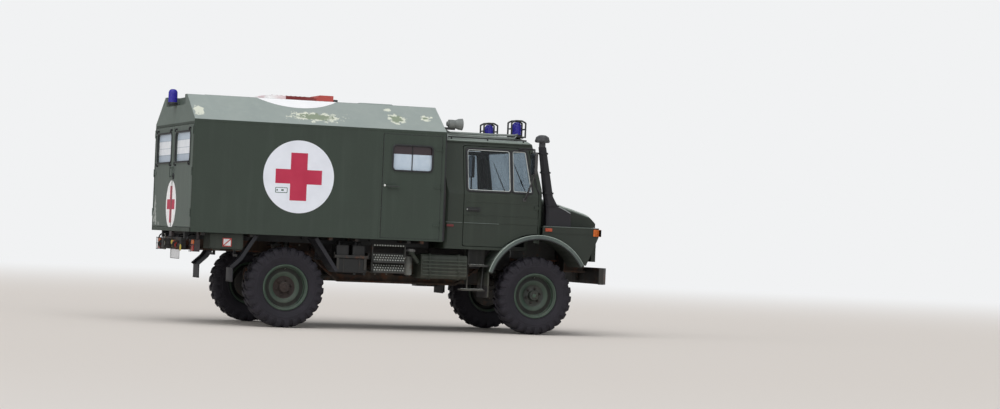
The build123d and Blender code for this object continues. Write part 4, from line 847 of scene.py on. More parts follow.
def cross_outline(upright_half, arm_half, reach):
    """Twelve corners of a cross: half widths of its upright and arm, and its reach both ways."""
    a, b, r = upright_half, arm_half, reach
    return np.array([(-a, -r), (a, -r), (a, -b), (r, -b), (r, b), (a, b), (a, r), (-a, r), (-a, b), (-r, b), (-r, -b),
                     (-a, -b)])


def half_plane(outline, edge, sign):
    """The part of an outline on one side of an upright line: the points beyond it are cut off where it crosses."""
    points = np.asarray(outline, float)
    following = np.roll(points, -1, 0)
    kept = (points[:, 0] - edge) * sign > 0
    crossing = kept != ((following[:, 0] - edge) * sign > 0)
    share = (edge - points[:, 0]) / np.where(following[:, 0] == points[:, 0], 1, following[:, 0] - points[:, 0])
    cuts = points + share[:, None] * (following - points)
    rows = np.stack([points, cuts], 1).reshape(-1, 2)
    return rows[np.stack([kept, crossing], 1).reshape(-1)]


for side, axes, tag in ((-1, ((1, 0, 0), (0, 0, 1)), "right"), (1, ((-1, 0, 0), (0, 0, 1)), "left")):
    centre = (-1.405, 1.1755 * side, 1.852)
    add_piece("side_disc_" + tag, slab(circle(0.445, 96), -0.001, 0.0012, 0.0002, centre, *axes), white_foil,
              flat=True)
    add_piece("side_cross_" + tag, slab(cross_outline(0.105, 0.088, 0.292), 0.0006, 0.0021, 0.0002, centre, *axes),
              red_foil, flat=True)
plate_green = moulded("green edging foil", "#2F5A3E", "#36634A", 0.5)
plate_rim = slab(rounded(rect(-1.693, -1.540, 1.649, 1.715), 0.008), 0.001, 0.0036, 0.0004, (0, -1.1755, 0),
                 (1, 0, 0), (0, 0, 1))
plate_face = slab(rounded(rect(-1.686, -1.547, 1.656, 1.708), 0.005), 0.002, 0.0042, 0.0004, (0, -1.1755, 0),
                  (1, 0, 0), (0, 0, 1))
add_piece("small_plate_rim", plate_rim, plate_green, flat=True)
add_piece("small_plate", plate_face, white_foil, flat=True)
plate_spots = [box_part((x, -1.1803, 1.672), (x + w, -1.1793, 1.692), 0.0002)
               for x, w in ((-1.678, 0.016), (-1.618, 0.030))]
add_piece("small_plate_spots", joined(*plate_spots), plate_green, flat=True)
for sign, tag in ((1, "left"), (-1, "right")):
    # u runs along -Y and v upwards, so that u x v points backwards
    for shape, low, high, foil, label in ((circle(0.300, 96), -0.0005, 0.0012, sky_foil, "disc"),
                                          (cross_outline(0.066, 0.062, 0.230), 0.0008, 0.0020, red_foil, "cross")):
        part = half_plane(shape * (-1, 1) + (-0.04, 0), 0.003 * -sign, -sign)
        add_piece(f"rear_{label}_{tag}", slab(part, low, high, 0.0002, (-2.7222, 0, 1.460), (0, -1, 0), (0, 0, 1)),
                  foil, "rear_door_" + tag, flat=True)


roof_top, flat_half, slope = 2.816, 0.652, 0.321 / 0.523


def roof_skin(outline_half, rows, lift):
    """Foil on the roof: x = middle + s * half width at y, z = the roof's height at y + lift; closed underneath."""
    y = np.asarray(rows, float)[:, None]
    s = np.linspace(-1, 1, 17)
    n = 2 * len(s)
    x = -1.337 + np.concatenate([s, s[::-1]])[None, :] * outline_half(y)
    drop = roof_top - np.maximum(0, np.abs(y) - flat_half) * slope
    z = drop + np.concatenate([s * 0 + lift, s * 0 - 0.001])[None, :]
    points = np.stack([x, np.broadcast_to(y, x.shape), z], -1)
    ends = [list(range(n)), list(range(points[..., 0].size - n, points[..., 0].size))[::-1]]
    return points.reshape(-1, 3), quads(len(rows), n, False, True).tolist() + ends


disc_r = 0.825
disc_rows = disc_r * 0.9999 * np.sin(np.linspace(-np.pi / 2, np.pi / 2, 49))
disc_rows = np.unique(np.concatenate([disc_rows, [-flat_half, flat_half]]))
roof_disc = roof_skin(lambda y: np.sqrt(np.maximum(disc_r ** 2 - y ** 2, 1e-8)), disc_rows, 0.0015)
add_piece("roof_disc", roof_disc, sky_foil, flat=True)
arm_rows = [-0.62, -0.1801, -0.18, 0.18, 0.1801, 0.62]
roof_cross = roof_skin(lambda y: np.where(np.abs(y) > 0.18005, 0.18, 0.62), arm_rows, 0.0028)
add_piece("roof_cross", roof_cross, red_foil, flat=True)

# Rear doors and what hangs at the back.
# Each door turns on three lift-off hinges of welded steel at its outer edge and shuts with a round flush lock. Rubber
# toggles clamp the windows. Below hang a blank plate, a yellow tag, lamps, the trailer socket and the air couplings.
hinges, toggles = [], []
for z in (1.36, 1.86, 2.36):
    hinges += [rod([(-2.732, 1.140, z - 0.050), (-2.732, 1.140, z + 0.050)], 0.0075, 12, (1, 0, 0)),
               box_part((-2.7275, 1.040, z - 0.022), (-2.7215, 1.139, z + 0.022), 0.0015),
               rivets([(-2.7275, y, z) for y in (1.055, 1.080, 1.105)], "-x")]
for y in (0.150, 0.970):
    for z, tip_z in ((2.392, 2.374), (1.948, 1.966)):
        toggles += [box_part((-2.745, y - 0.020, z - 0.010), (-2.7215, y + 0.020, z + 0.010), 0.003),
                    box_part((-2.750, y - 0.008, tip_z - 0.016), (-2.738, y + 0.008, tip_z + 0.016), 0.003)]
hinges, toggles = joined(*hinges), joined(*toggles)
for tag, parts, clamps in (("left", hinges, toggles), ("right", opposite(hinges), opposite(toggles))):
    add_piece("rear_door_hinges_" + tag, parts, lit_door_green, "rear_door_" + tag, flat=True)
    add_piece("window_toggles_" + tag, clamps, dark_plastic, "rear_door_" + tag)
lock = joined(turned([(0.0, 0.019), (0.030, 0.018), (0.036, 0.012), (0.038, 0.0)], (0, 0, 0), "x", 32),
              box_part((0.0, -0.028, -0.006), (0.026, 0.028, 0.006), 0.002))
add_piece("rear_lock", placed(lock, (-2.7215, -0.055, 1.810), (-1, 1, 1)), dark_plastic, "rear_door_right")
seam_lip = box_part((-2.7260, -0.002, 1.186), (-2.7225, 0.028, 2.434), 0.001)
add_piece("rear_door_lip", seam_lip, lit_door_green, "rear_door_left", flat=True)

plate_white = moulded("white painted plate", "#D9DADC", "#CACBCD", 0.4, 14.0, 0.05)
number_plate = box_part((-2.7040, -0.500, 0.795), (-2.7015, 0.020, 0.905), 0.0008)
add_piece("blank_plate", number_plate, plate_white, flat=True)
plate_rim_bar = carried([(-2.7045, y, z) for y, z in rounded(rect(-0.503, 0.023, 0.792, 0.908), 0.01)],
                        circle(0.0028, 6), (-1, 0, 0))
plate_holder = box_part((-2.7015, -0.470, 0.790), (-2.6990, -0.010, 0.930), 0.001)
add_piece("plate_holder", joined(plate_rim_bar, plate_holder), chassis_black)
yellow = worn_paint("yellow enamel, dusty", "#B9A63A", "#C4B24E", "#8F8140", 0.5, grime=0.3)
tag_disc = turned([(0.0, -0.0035), (0.038, -0.0035), (0.040, -0.002), (0.040, 0.002), (0.038, 0.0035), (0.0, 0.0035)],
                  (-2.712, -0.590, 0.930), "x", 32)
add_piece("yellow_tag", tag_disc, yellow)
tag_arm = box_part((-2.7090, -0.600, 0.905), (-2.7000, -0.500, 0.955), 0.001)
add_piece("tag_arm", tag_arm, chassis_black, flat=True)

lens_red = moulded("red lamp lens, acrylic", "#8E1D16", "#A12A20", 0.16, 40.0, 0.02)
lens_amber = moulded("amber lamp lens, acrylic", "#C25A12", "#D06A1C", 0.16, 40.0, 0.02)
lens_clear = moulded("clear lamp lens, ribbed", "#C7CCCE", "#DADEDF", 0.12, 60.0, 0.05)
for sign, tag in ((1, "left"), (-1, "right")):
    # columns: name, height of the lens's middle, half its height, finish
    for label, z, half_z, colour in (("amber", 1.008, 0.026, lens_amber), ("red", 0.935, 0.038, lens_red)):
        lens = box_part((-2.6600, 0.940 * sign, z - half_z), (-2.6440, 1.070 * sign, z + half_z), 0.005, 0.006)
        add_piece(f"tail_{label}_{tag}", lens, colour)
cage = []
for z in (0.895, 0.965, 1.035):
    cage.append(rod(bent([(-2.640, 0.920, z), (-2.680, 0.920, z), (-2.680, 1.090, z), (-2.640, 1.090, z)], 0.02),
                    0.0035, 8, (0, 0, 1)))
for y in (0.965, 1.045):
    cage.append(rod([(-2.6805, y, 0.885), (-2.6805, y, 1.045)], 0.0035, 8, (1, 0, 0)))
add_piece("tail_lamp_cages", both(joined(*cage)), chassis_black)
stripe_red = moulded("red warning foil", "#A52E28", "#B23A32", 0.5, 14.0, 0.03)
coat_node("tail_lamps", moulded("lamp housings, dusty plastic", "#2A2426", "#3A3031", 0.5))

socket = joined(turned([(0.0, 0.0), (0.036, 0.0), (0.036, 0.050), (0.031, 0.056), (0.0, 0.056)], (0, 0, 0), "x", 28),
                box_part((0.050, -0.040, -0.044), (0.060, 0.040, 0.040), 0.004, 0.012),
                box_part((-0.006, -0.050, -0.050), (0.002, 0.050, 0.050), 0.002))
add_piece("trailer_socket", placed(socket, (-2.701, 0.280, 0.985), (-1, 1, 1)), dark_plastic)
for y, paint, label in ((-0.200, yellow, "brake"), (-0.300, stripe_red, "supply")):
    neck = turned([(0.0, 0.0), (0.026, 0.0), (0.026, 0.040), (0.020, 0.046), (0.0, 0.046)], (0, 0, 0), "x", 24)
    head = joined(neck, box_part((0.008, -0.014, -0.060), (0.034, 0.014, -0.018), 0.003))
    add_piece("air_coupling_" + label, placed(head, (-2.701, y, 0.990), (-1, 1, 1)), paint)
pipes = []
for y, reach in ((0.280, 0.06), (-0.200, 0.05), (-0.300, 0.07), (-0.860, 0.10), (0.860, 0.10)):
    run = [(-2.690, y, 1.03), (-2.680, y, 1.075), (-2.640, y * 0.95, 1.085 + reach * 0.1), (-2.45, y * 0.7, 1.08),
           (-2.2, y * 0.5, 1.075)]
    pipes.append(rod(bent(run, 0.03), 0.009, 10, (0, 1, 0)))
add_piece("rear_steel_pipes", joined(*pipes), dark_plastic)
pin = joined(rod([(-2.785, 0, 0.895), (-2.785, 0, 1.060)], 0.0150, 20, (1, 0, 0)),
             rod(bent([(-2.785, 0, 1.055), (-2.785, 0, 1.090), (-2.785, 0.050, 1.090)], 0.01), 0.006, 10, (1, 0, 0)))
add_piece("rear_tow_pin", pin, zinc)
front_pin = joined(rod([(2.796, 0, 0.690), (2.796, 0, 0.858)], 0.0150, 20, (1, 0, 0)),
                   turned([(0.0, 0.012), (0.022, 0.010), (0.024, 0.0), (0.0, 0.0)], (2.796, 0, 0.852), "z", 20))
add_piece("front_tow_pin", front_pin, zinc)

# Side door of the box.
# One leaf in the body's green on three strap hinges at its front edge, with a black grab handle, a round lock and a
# rubber lip all round its gap.
side_hinges = []
for z in (1.33, 1.80, 2.27):
    side_hinges += [rod([(0.425, -1.185, z - 0.045), (0.425, -1.185, z + 0.045)], 0.0065, 12, (1, 0, 0)),
                    box_part((0.330, -1.1800, z - 0.018), (0.4235, -1.1745, z + 0.018), 0.0012),
                    rivets([(x, -1.1800, z) for x in (0.345, 0.372, 0.399)], "-y")]
add_piece("side_door_hinges", joined(*side_hinges), laminate_green, "side_door", flat=True)
side_grip = rod([(-0.272, -1.212, 1.791), (-0.143, -1.212, 1.791)], 0.0085, 12, (0, 0, 1))
grip_ends = [rod([(x, -1.176, 1.791), (x, -1.2115, 1.791)], 0.010, 12, (0, 0, 1)) for x in (-0.262, -0.157)]
add_piece("side_door_grip", joined(side_grip, *grip_ends), dark_plastic, "side_door")
side_lock = turned([(0.0, 0.010), (0.011, 0.009), (0.013, 0.0)], (0, 0, 0), "y", 24)
add_piece("side_door_lock", placed(side_lock, (-0.306, -1.1745, 1.800), (1, -1, 1)),
          moulded("polished lock barrel", "#E2E4E2", "#F0F0EE", 0.25), "side_door")
lip_path = [(x, -1.1735, z) for x, z in rounded(rect(-0.3385, 0.4165, 1.1535, 2.4365), 0.006)]
add_piece("side_door_lip", carried(lip_path, rect(-0.0025, 0.0025, -0.004, 0.0012),
                                   (0, -1, 0)), seal_rubber, "side_door")

# Cab.
# Welded steel in the body's green, painted darker than the box for shade, with painted highlights on its crown, its
# gutters and one crease. Pressed creases run along the side; black handles, hinges and rain strips are screwed on.
def crown_highlight_and_trim(material, place, colour):
    """Pale paint on the crown above the gutters, a painted highlight, and grey trim inside."""
    height = add_node(material, "SeparateXYZ", links={0: place}).outputs["Z"]
    # pale paint on the crown: a painted highlight
    crown = add_node(material, "MapRange", {"interpolation_type": "SMOOTHSTEP"}, {1: 2.398, 2: 2.425, 4: 0.9},
                     {0: height}).outputs[0]
    colour = painted_over(material, colour, crown, "#919C96")
    colour = painted_within(material, place, colour, (0.560, -1.032, 1.095), (1.770, 1.032, 1.74), "#34383A")
    return painted_within(material, place, colour, (0.560, -0.93, 1.74), (1.66, 0.93, 2.38), "#4A4E4C")


# the cab is painted darker than the box: painted shade
shaded_cab_green = body_green("olive green cab paint, darker for painted shade", crown_highlight_and_trim, ("#202A21", "#273027", "#3C453C"))
for name in ("cab_shell", "cab_door_left", "cab_door_right"):
    coat_node(name, shaded_cab_green)
crease = [(-0.0040, -0.0015), (0.0040, -0.0015), (0.0030, 0.0020), (-0.0010, 0.0030), (-0.0036, 0.0015)]
# pale paint along the lowest crease, on the doors and on to the wing: a painted highlight
crease_highlight = worn_paint("green with a painted highlight along a crease", "#56605B", "#626C67", "#7F8883", 0.5, grime=0.1)
# columns: name by its height in millimetres, ends, offset, paint
for height, x0, x1, y, paint in ((1646, 0.768, 1.750, 1.080, shaded_cab_green), (1475, 0.768, 1.750, 1.0858, shaded_cab_green),
                                 (1381, 0.768, 1.232, 1.0858, crease_highlight)):
    line = carried([(x0, -y, height / 1000), (x1, -y, height / 1000)], crease, (0, -1, 0), False)
    for tag, part in (("right", line), ("left", opposite(line))):
        add_piece(f"door_crease_{height}_{tag}", part, paint, "cab_door_" + tag, flat=True)
creases = [carried([(1.822, -1.1065, 1.378), (2.500, -1.1065, 1.378)], crease, (0, -1, 0), False),
           carried([(0.530, -1.0800, 1.381), (0.749, -1.0800, 1.381)], crease, (0, -1, 0), False)]
add_piece("body_creases", both(joined(*creases)), crease_highlight, flat=True)
# the gutters' pale paint is a painted highlight
gutter_lip = carried([(0.545, -0.967, 2.413), (1.640, -0.967, 2.413)],
                     [(-0.010, -0.006), (0.002, -0.006), (0.002, 0.010), (-0.001, 0.010), (-0.001, -0.003),
                      (-0.010, -0.003)], (0, 0, 1), False)
gutter_highlight = worn_paint("gutter paint, pale for a painted highlight", "#7C8982", "#8C9891", "#A6B0A9", 0.6, grime=0.0)
add_piece("cab_gutters", both(gutter_lip), gutter_highlight, flat=True)
silver = bare_material("mirror glass")
place = add_node(silver, "TexCoord").outputs["Object"]
spots = add_node(silver, "TexNoise", values={"Scale": 40.0, "Detail": 4.0}, links={"Vector": place}).outputs["Fac"]
spotted = add_node(silver, "MapRange", values={3: 0.02, 4: 0.14}, links={0: spots}).outputs[0]
shader = add_node(silver, "BsdfPrincipled", values={"Base Color": hex_linear("#C8CCCF"), "Metallic": 1.0},
                  links={"Roughness": spotted})
add_node(silver, "OutputMaterial", links={"Surface": shader.outputs[0]})
dish = slab(rounded(rect(0.796, 0.986, 1.526, 1.578), 0.020), -0.001, 0.0028, 0.001, (0, -1.080, 0), (1, 0, 0),
            (0, 0, 1))
bar = carried(bent([(0.826, -1.083, 1.552), (0.832, -1.112, 1.552), (0.955, -1.112, 1.552), (0.961, -1.083, 1.552)],
                   0.008), rect(-0.007, 0.007, -0.009, 0.009), (0, 0, 1), False)
barrel = placed(turned([(0.0, 0.006), (0.0075, 0.005), (0.009, 0.0)], (0, 0, 0), "y", 20), (0.808, -1.0825, 1.552),
                (1, -1, 1))
cab_hinges = []
for z in (1.18, 1.60):
    cab_hinges += [rod([(1.765, -1.095, z - 0.030), (1.765, -1.095, z + 0.030)], 0.008, 12, (1, 0, 0)),
                   box_part((1.700, -1.0900, z - 0.020), (1.762, -1.0790, z + 0.020), 0.002)]
mirror_tube = rod(bent([(1.500, -0.9850, 2.330), (1.545, -1.060, 2.345), (1.600, -1.255, 2.335),
                        (1.612, -1.262, 2.300), (1.612, -1.262, 2.000), (1.575, -1.120, 1.730),
                        (1.560, -1.090, 1.700)], 0.02), 0.010, 12, (0, 1, 0))
mirror_pane = opposite(slab(rounded(rect(-1.336, -1.189, 2.020, 2.290), 0.020), 0.0, 0.0022, 0.0006, (1.5918, 0, 0),
                            (0, -1, 0), (0, 0, 1)))
mirror_edge = set_in(rounded(rect(-1.342, -1.183, 2.014, 2.296), 0.022), (1.591, 0, 0), (0, 1, 0), (0, 0, 1))
mirror_rim = carried(mirror_edge, circle(0.0035, 6), (-1, 0, 0))
pillar_grab = rod(bent([(1.775, -1.072, 1.77), (1.705, -1.055, 1.90), (1.700, -1.010, 2.10)], 0.05), 0.008, 8,
                  (0, 1, 0))
# columns: name, right-hand part, finish, body, slot, whether its faces are flat
cab_gear = (("cab_handle_", joined(dish, bar), dark_plastic, "cab_door_", "trim", False),
            ("cab_lock_", barrel, bright, "cab_door_", "bare_steel", False),
            ("cab_door_hinges_", joined(*cab_hinges), shaded_cab_green, "cab_door_", "body_paint", True),
            ("mirror_tube_", mirror_tube, dark_plastic, "cab_door_", "trim", False),
            ("mirror_glass_", mirror_pane, silver, "cab_door_", "glass", False),
            ("mirror_rim_", mirror_rim, dark_plastic, "cab_door_", "trim", False),
            ("pillar_grab_", pillar_grab, dark_plastic, "root", "trim", False))
for tag, flip in (("right", (1, 1, 1)), ("left", (1, -1, 1))):
    for name, part, paint, body, slot, flat in cab_gear:
        add_piece(name + tag, placed(part, 0, flip), paint, body if body == "root" else body + tag, flat)
wipers = []
for y in (-0.42, 0.38):
    foot = screen_foot + screen_lean * 1.775 + screen_face * 0.012 + (0, y, 0)
    tip = screen_foot + screen_lean * 2.13 + screen_face * 0.030 + (0, y + 0.33, 0)
    wipers += [rod([foot, tip], 0.006, 8, screen_face),
               rod([foot + (tip - foot) * 0.30 + (0, 0.02, 0), tip + (tip - foot) * 0.18], 0.0045, 6, screen_face),
               turned([(0.0, 0.022), (0.018, 0.020), (0.020, -0.01), (0.0, -0.01)], foot, "x", 20)]
add_piece("wipers", joined(*wipers), dark_plastic)

# Seats and stretcher pads.
# Foam under woven green cloth, sewn with piping round the edges. Each pad is blown up as cloth from a block with soft
# corners, so that its faces rise and its sides pull in between the corners.
cloth_green = bare_material("woven seat cloth, sewn")
place = add_node(cloth_green, "TexCoord").outputs["Object"]
# threads 3 mm apart, drawn coarser than the real 0.6 mm so that they show
warp = add_node(cloth_green, "TexWave", {"bands_direction": "X"}, {"Scale": 52.0, "Distortion": 0.6},
                {"Vector": place}).outputs["Fac"]
weft = add_node(cloth_green, "TexWave", {"bands_direction": "Y"}, {"Scale": 52.0, "Distortion": 0.6},
                {"Vector": place}).outputs["Fac"]
weave = add_node(cloth_green, "Math", {"operation": "MAXIMUM"}, links={0: warp, 1: weft}).outputs[0]
soil = add_node(cloth_green, "TexNoise", values={"Scale": 6.0, "Detail": 6.0}, links={"Vector": place}).outputs["Fac"]
soiled = add_node(cloth_green, "MapRange", values={1: 0.35, 2: 0.7}, links={0: soil}).outputs[0]
tint = add_node(cloth_green, "Mix", {"data_type": "RGBA"}, {6: hex_linear("#3A4034"), 7: hex_linear("#4C5142")},
                {0: soiled}).outputs[2]
gaps = add_node(cloth_green, "MapRange", values={1: 0.7, 2: 0.0, 3: 0.0, 4: 0.5}, links={0: weave}).outputs[0]
tint = painted_over(cloth_green, tint, gaps, "#23271F")
thread = add_node(cloth_green, "Bump", values={"Strength": 0.4, "Distance": 0.0012},
                  links={"Height": weave}).outputs[0]
cloth_rough = add_node(cloth_green, "MapRange", values={3: 0.82, 4: 0.95}, links={0: soil}).outputs[0]
shader = add_node(cloth_green, "BsdfPrincipled", values={"Sheen Weight": 0.15},
                  links={"Base Color": tint, "Roughness": cloth_rough, "Normal": thread})
add_node(cloth_green, "OutputMaterial", links={"Surface": shader.outputs[0]})


def crowned(size, crown, pull, steps=(33, 29, 9)):
    """A stuffed block: each face bulges by crown * (1 - u^2)(1 - v^2), and its sides pull in by pull * (1 - u^2)."""
    points, faces, start = [], [], 0
    for axis in range(3):
        a, b = (axis + 1) % 3, (axis + 2) % 3
        u, v = np.linspace(-1, 1, steps[a])[:, None], np.linspace(-1, 1, steps[b])[None, :]
        for sign in (-1, 1):
            grid = np.zeros((steps[a], steps[b], 3))
            grid[..., a], grid[..., b], grid[..., axis] = u, v, sign
            points.append(grid.reshape(-1, 3))
            faces += (quads(steps[a], steps[b]) + start).tolist()
            start += steps[a] * steps[b]
    unit = np.concatenate(points)
    # the corners are rounded by drawing the block towards a ball near them
    soft = unit / np.maximum(np.linalg.norm(unit ** 8, ord=1, axis=1, keepdims=True) ** (1 / 8), 1e-9)
    bulge = 1 - soft ** 2
    out = np.stack([-pull * bulge[:, 1], -pull * bulge[:, 0], crown * bulge[:, 0] * bulge[:, 1]], -1)
    return soft * np.asarray(size, float) / 2 + out * np.sign(soft) * (np.abs(soft) > 0.5), faces


def blown_up(size, crown):
    """A soft block, voxel-remeshed and swollen as cloth for 20 frames; no point moves by more than 1.5 * crown."""
    start = crowned((size[0], size[1], size[2] - crown), crown * 0.2, 0.002, (97 if size[0] > 1.5 else 33, 29, 9))
    blank = add_piece("pad_blank", start, cloth_green)
    # an even grid of small squares, 16 mm wide at most
    remesh = blank.modifiers.new("even squares", "REMESH")
    remesh.mode, remesh.voxel_size = "VOXEL", float(np.clip(max(size) / 40, 0.008, 0.016))
    even = bpy.data.meshes.new_from_object(blank.evaluated_get(bpy.context.evaluated_depsgraph_get()))
    blank.modifiers.clear()
    blank.data = even
    before = spots_of(even.vertices, "co")
    cloth = blank.modifiers.new("stuffing", "CLOTH")
    cloth.settings.use_pressure, cloth.settings.uniform_pressure_force = True, 4.0
    cloth.settings.effector_weights.gravity = 0.0
    cloth.settings.tension_stiffness, cloth.settings.bending_stiffness = 40.0, 4.0
    cloth.point_cache.frame_start, cloth.point_cache.frame_end = 1, 20
    for frame_number in range(1, 21):
        bpy.context.scene.frame_set(frame_number)
    swollen = bpy.data.meshes.new_from_object(blank.evaluated_get(bpy.context.evaluated_depsgraph_get()))
    bpy.context.scene.frame_set(1)
    faces = [list(face.vertices) for face in swollen.polygons]
    bpy.data.objects.remove(blank)
    move = spots_of(swollen.vertices, "co") - before
    move -= move.mean(0)
    longest = np.linalg.norm(move, axis=1).max()
    return before + move * min(1.0, 1.5 * crown / longest), faces


def leant(part, middle, tilt):
    """A part turned about the y axis by the lean, then carried to its place."""
    turn = np.array([[np.cos(tilt), 0, -np.sin(tilt)], [0, 1, 0], [np.sin(tilt), 0, np.cos(tilt)]])
    return part[0] @ turn + np.asarray(middle, float), part[1]


def piping(length, width, height):
    """A sewn cord round the edge of a pad: a rounded rectangle at a height."""
    loop = rounded(rect(-length / 2, length / 2, -width / 2, width / 2), min(length, width) * 0.14)
    return carried(set_in(loop, (0, 0, height), (1, 0, 0), (0, 1, 0)), circle(0.0045, 8), (0, 0, 1))


# columns: name, size with thickness last, middle, lean, crown, node that it stands for
pads = [("seat_cushion_left", (0.490, 0.500, 0.120), (0.925, 0.480, 1.395), 0.0, 0.012, "seats"),
        ("seat_cushion_right", (0.490, 0.500, 0.120), (0.925, -0.480, 1.395), 0.0, 0.012, "seats"),
        ("seat_back_left", (0.580, 0.480, 0.095), (0.640, 0.480, 1.745), -1.405, 0.012, "seats"),
        ("seat_back_right", (0.580, 0.480, 0.095), (0.640, -0.480, 1.745), -1.405, 0.012, "seats"),
        ("head_rest_left", (0.165, 0.280, 0.052), (0.610, 0.480, 2.125), -1.45, 0.006, "seats"),
        ("head_rest_right", (0.165, 0.280, 0.052), (0.610, -0.480, 2.125), -1.45, 0.006, "seats"),
        ("stretcher_pad_right", (2.020, 0.490, 0.070), (-1.530, -0.835, 1.496), 0.0, 0.010, "box_pads"),
        ("stretcher_pad_left", (2.520, 0.490, 0.070), (-1.280, 0.835, 1.496), 0.0, 0.010, "box_pads"),
        ("attendant_cushion", (0.390, 0.460, 0.080), (0.135, -0.090, 1.602), 0.0, 0.010, "box_pads"),
        ("attendant_back", (0.430, 0.420, 0.052), (0.352, -0.090, 1.862), -1.68, 0.008, "box_pads")]
shapes = {}
for name, size, middle, tilt, crown, node in pads:
    if size not in shapes:
        shapes[size] = blown_up(size, crown)
    pad = add_piece(name, leant(shapes[size], middle, tilt), cloth_green)
    smooth = pad.modifiers.new("rounded", "SUBSURF")
    smooth.levels = smooth.render_levels = 1
    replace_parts(pad, node)
    cords = [piping(size[0] - 0.012, size[1] - 0.012, side * size[2] * 0.40) for side in (1, -1)]
    add_piece(name + "_piping", leant(joined(*cords), middle, tilt), seal_rubber)

# Inside the cab and the box.
# In the cab a black moulded dash with a row of round dials, and a thin-rimmed steering wheel. In the box racks of grey
# tube with white laminate decks, a white cupboard with steel catches, webbing straps and a lamp strip.
cab_trim = moulded("black moulded dash, dusty", "#26282A", "#34363A", 0.6)
coat_node("cab_fittings", cab_trim)
ring_axis = np.array([-0.180, 0.0, 0.190]) / np.hypot(0.180, 0.190)
ring_up = np.cross(ring_axis, (0, 1, 0))
a = np.linspace(0, 2 * np.pi, 49)[:-1]
ring_line = np.array([1.395, 0.480, 1.695]) + 0.210 * (np.cos(a)[:, None] * np.array([0, 1, 0])
                                                       + np.sin(a)[:, None] * ring_up)
wheel_rim = joined(carried(ring_line, circle(0.0175, 14), ring_axis),
                   rod([(1.395, 0.480, 1.695) + ring_axis * 0.012, (1.395, 0.480, 1.695) - ring_axis * 0.03], 0.045,
                       24, (0, 1, 0)))
add_piece("steering_wheel_rim", wheel_rim, moulded("grey moulded rim", "#55585A", "#64676A", 0.45))
dials = []
for y, radius in ((0.30, 0.035), (0.40, 0.050), (0.55, 0.050), (0.66, 0.035)):
    face = turned([(0.0, 0.0), (radius, 0.0), (radius + 0.004, 0.008), (radius + 0.008, 0.0), (radius + 0.008, -0.01),
                   (0.0, -0.01)], (0, 0, 0), "x", 28)
    dials.append((np.asarray(face[0]) * (-1, 1, 1) @ np.array([[0.76, 0, 0.65], [0, 1, 0], [-0.65, 0, 0.76]])
                  + (1.596, y, 1.690), face[1]))
add_piece("dials", joined(*dials), bright)
rack_grey = worn_paint("grey enamelled tube", "#8E9494", "#9BA09E", "#B5B9B6", 0.4, grime=0.0, scuffed=0.35)
coat_node("box_fittings", rack_grey)
white_laminate = moulded("white laminate", "#D2D4D0", "#C6C8C4", 0.4, 8.0, 0.05)
doors = [box_part((x, 0.628, z), (x + 0.17, 0.6405, z + 0.38), 0.003, 0.008) for x in (0.066, 0.244)
         for z in (1.19, 1.585)]
catches = [box_part((x, 0.615, z), (x + 0.020, 0.629, z + 0.06), 0.002) for x in (0.212, 0.252) for z in (1.35, 1.74)]
add_piece("cupboard_doors", joined(*doors), white_laminate)
add_piece("cupboard_catches", joined(*catches), zinc, flat=True)
webbing = moulded("woven webbing strap", "#5B5F4C", "#6B6F5A", 0.8, 60.0, 0.3)
straps = []
for side in (-1, 1):
    for x in (-2.30, -1.60, -0.90):
        low_y, high_y = sorted((side * 0.585, side * 1.085))
        path = [(x, low_y, 1.462), (x, low_y, 1.520), (x, low_y + 0.03, 1.545), (x, (low_y + high_y) / 2, 1.550),
                (x, high_y - 0.03, 1.545), (x, high_y, 1.520), (x, high_y, 1.462)]
        webbing_section = rect(-0.001, 0.0012, -0.024, 0.024)
        straps.append(carried(bent(path, 0.015), webbing_section, (1, 0, 0), False))
add_piece("pad_straps", joined(*straps), webbing)
lamp_strips = joined(*[box_part((x, -0.060, 2.742), (x + 0.60, 0.060, 2.772), 0.006, 0.015) for x in (-1.9, -0.9)])
add_piece("ceiling_lamps", lamp_strips, lens_clear)
floor_mat = box_part((-2.655, -0.520, 1.1745), (-0.10, 0.520, 1.1785), 0.001)
add_piece("box_floor_mat", floor_mat, moulded("ribbed grey floor mat", "#4B4D4C", "#585A58", 0.7, 20.0, 0.4, 90.0),
          flat=True)

# Beacons, guards and the horn.
# Blue domed lenses over white reflectors, each in a cage of black tube on the cab roof; a pale horn beside them. Two
# bare conduits run forward from the box to the beacons.
blue = bare_material("blue beacon lens, acrylic")
place = add_node(blue, "TexCoord").outputs["Object"]
rings = add_node(blue, "TexWave", {"bands_direction": "Z"}, {"Scale": 26.0}, {"Vector": place}).outputs["Fac"]
deep = add_node(blue, "Mix", {"data_type": "RGBA"}, {6: hex_linear("#150F7C"), 7: hex_linear("#2A20A6")},
                {0: rings}).outputs[2]
ridges = add_node(blue, "Bump", values={"Strength": 0.5, "Distance": 0.002}, links={"Height": rings}).outputs[0]
speckle = add_node(blue, "TexNoise", values={"Scale": 30.0}, links={"Vector": place}).outputs["Fac"]
worn = add_node(blue, "MapRange", values={3: 0.12, 4: 0.26}, links={0: speckle}).outputs[0]
shader = add_node(blue, "BsdfPrincipled", values={"IOR": 1.49},
                  links={"Base Color": deep, "Roughness": worn, "Normal": ridges})
add_node(blue, "OutputMaterial", links={"Surface": shader.outputs[0]})
dome_line = [(0.0, 0.1955), (0.022, 0.1945), (0.036, 0.1880), (0.0485, 0.1760), (0.0550, 0.1600), (0.0568, 0.1450),
             (0.0568, 0.0300), (0.0, 0.0300)]
domes = [turned(dome_line, spot, "z", 48) for spot in ((1.600, -0.560, 2.504), (1.600, 0.560, 2.504),
                                                       (-2.762, 0.0, 2.702))]
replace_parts(add_piece("beacon_domes", joined(*domes), blue), "beacons")
guard_black = worn_paint("black enamelled guard tube", "#202224", "#2B2D2D", "#4A4A46", 0.5, grime=0.0, scuffed=0.4)
cages = []
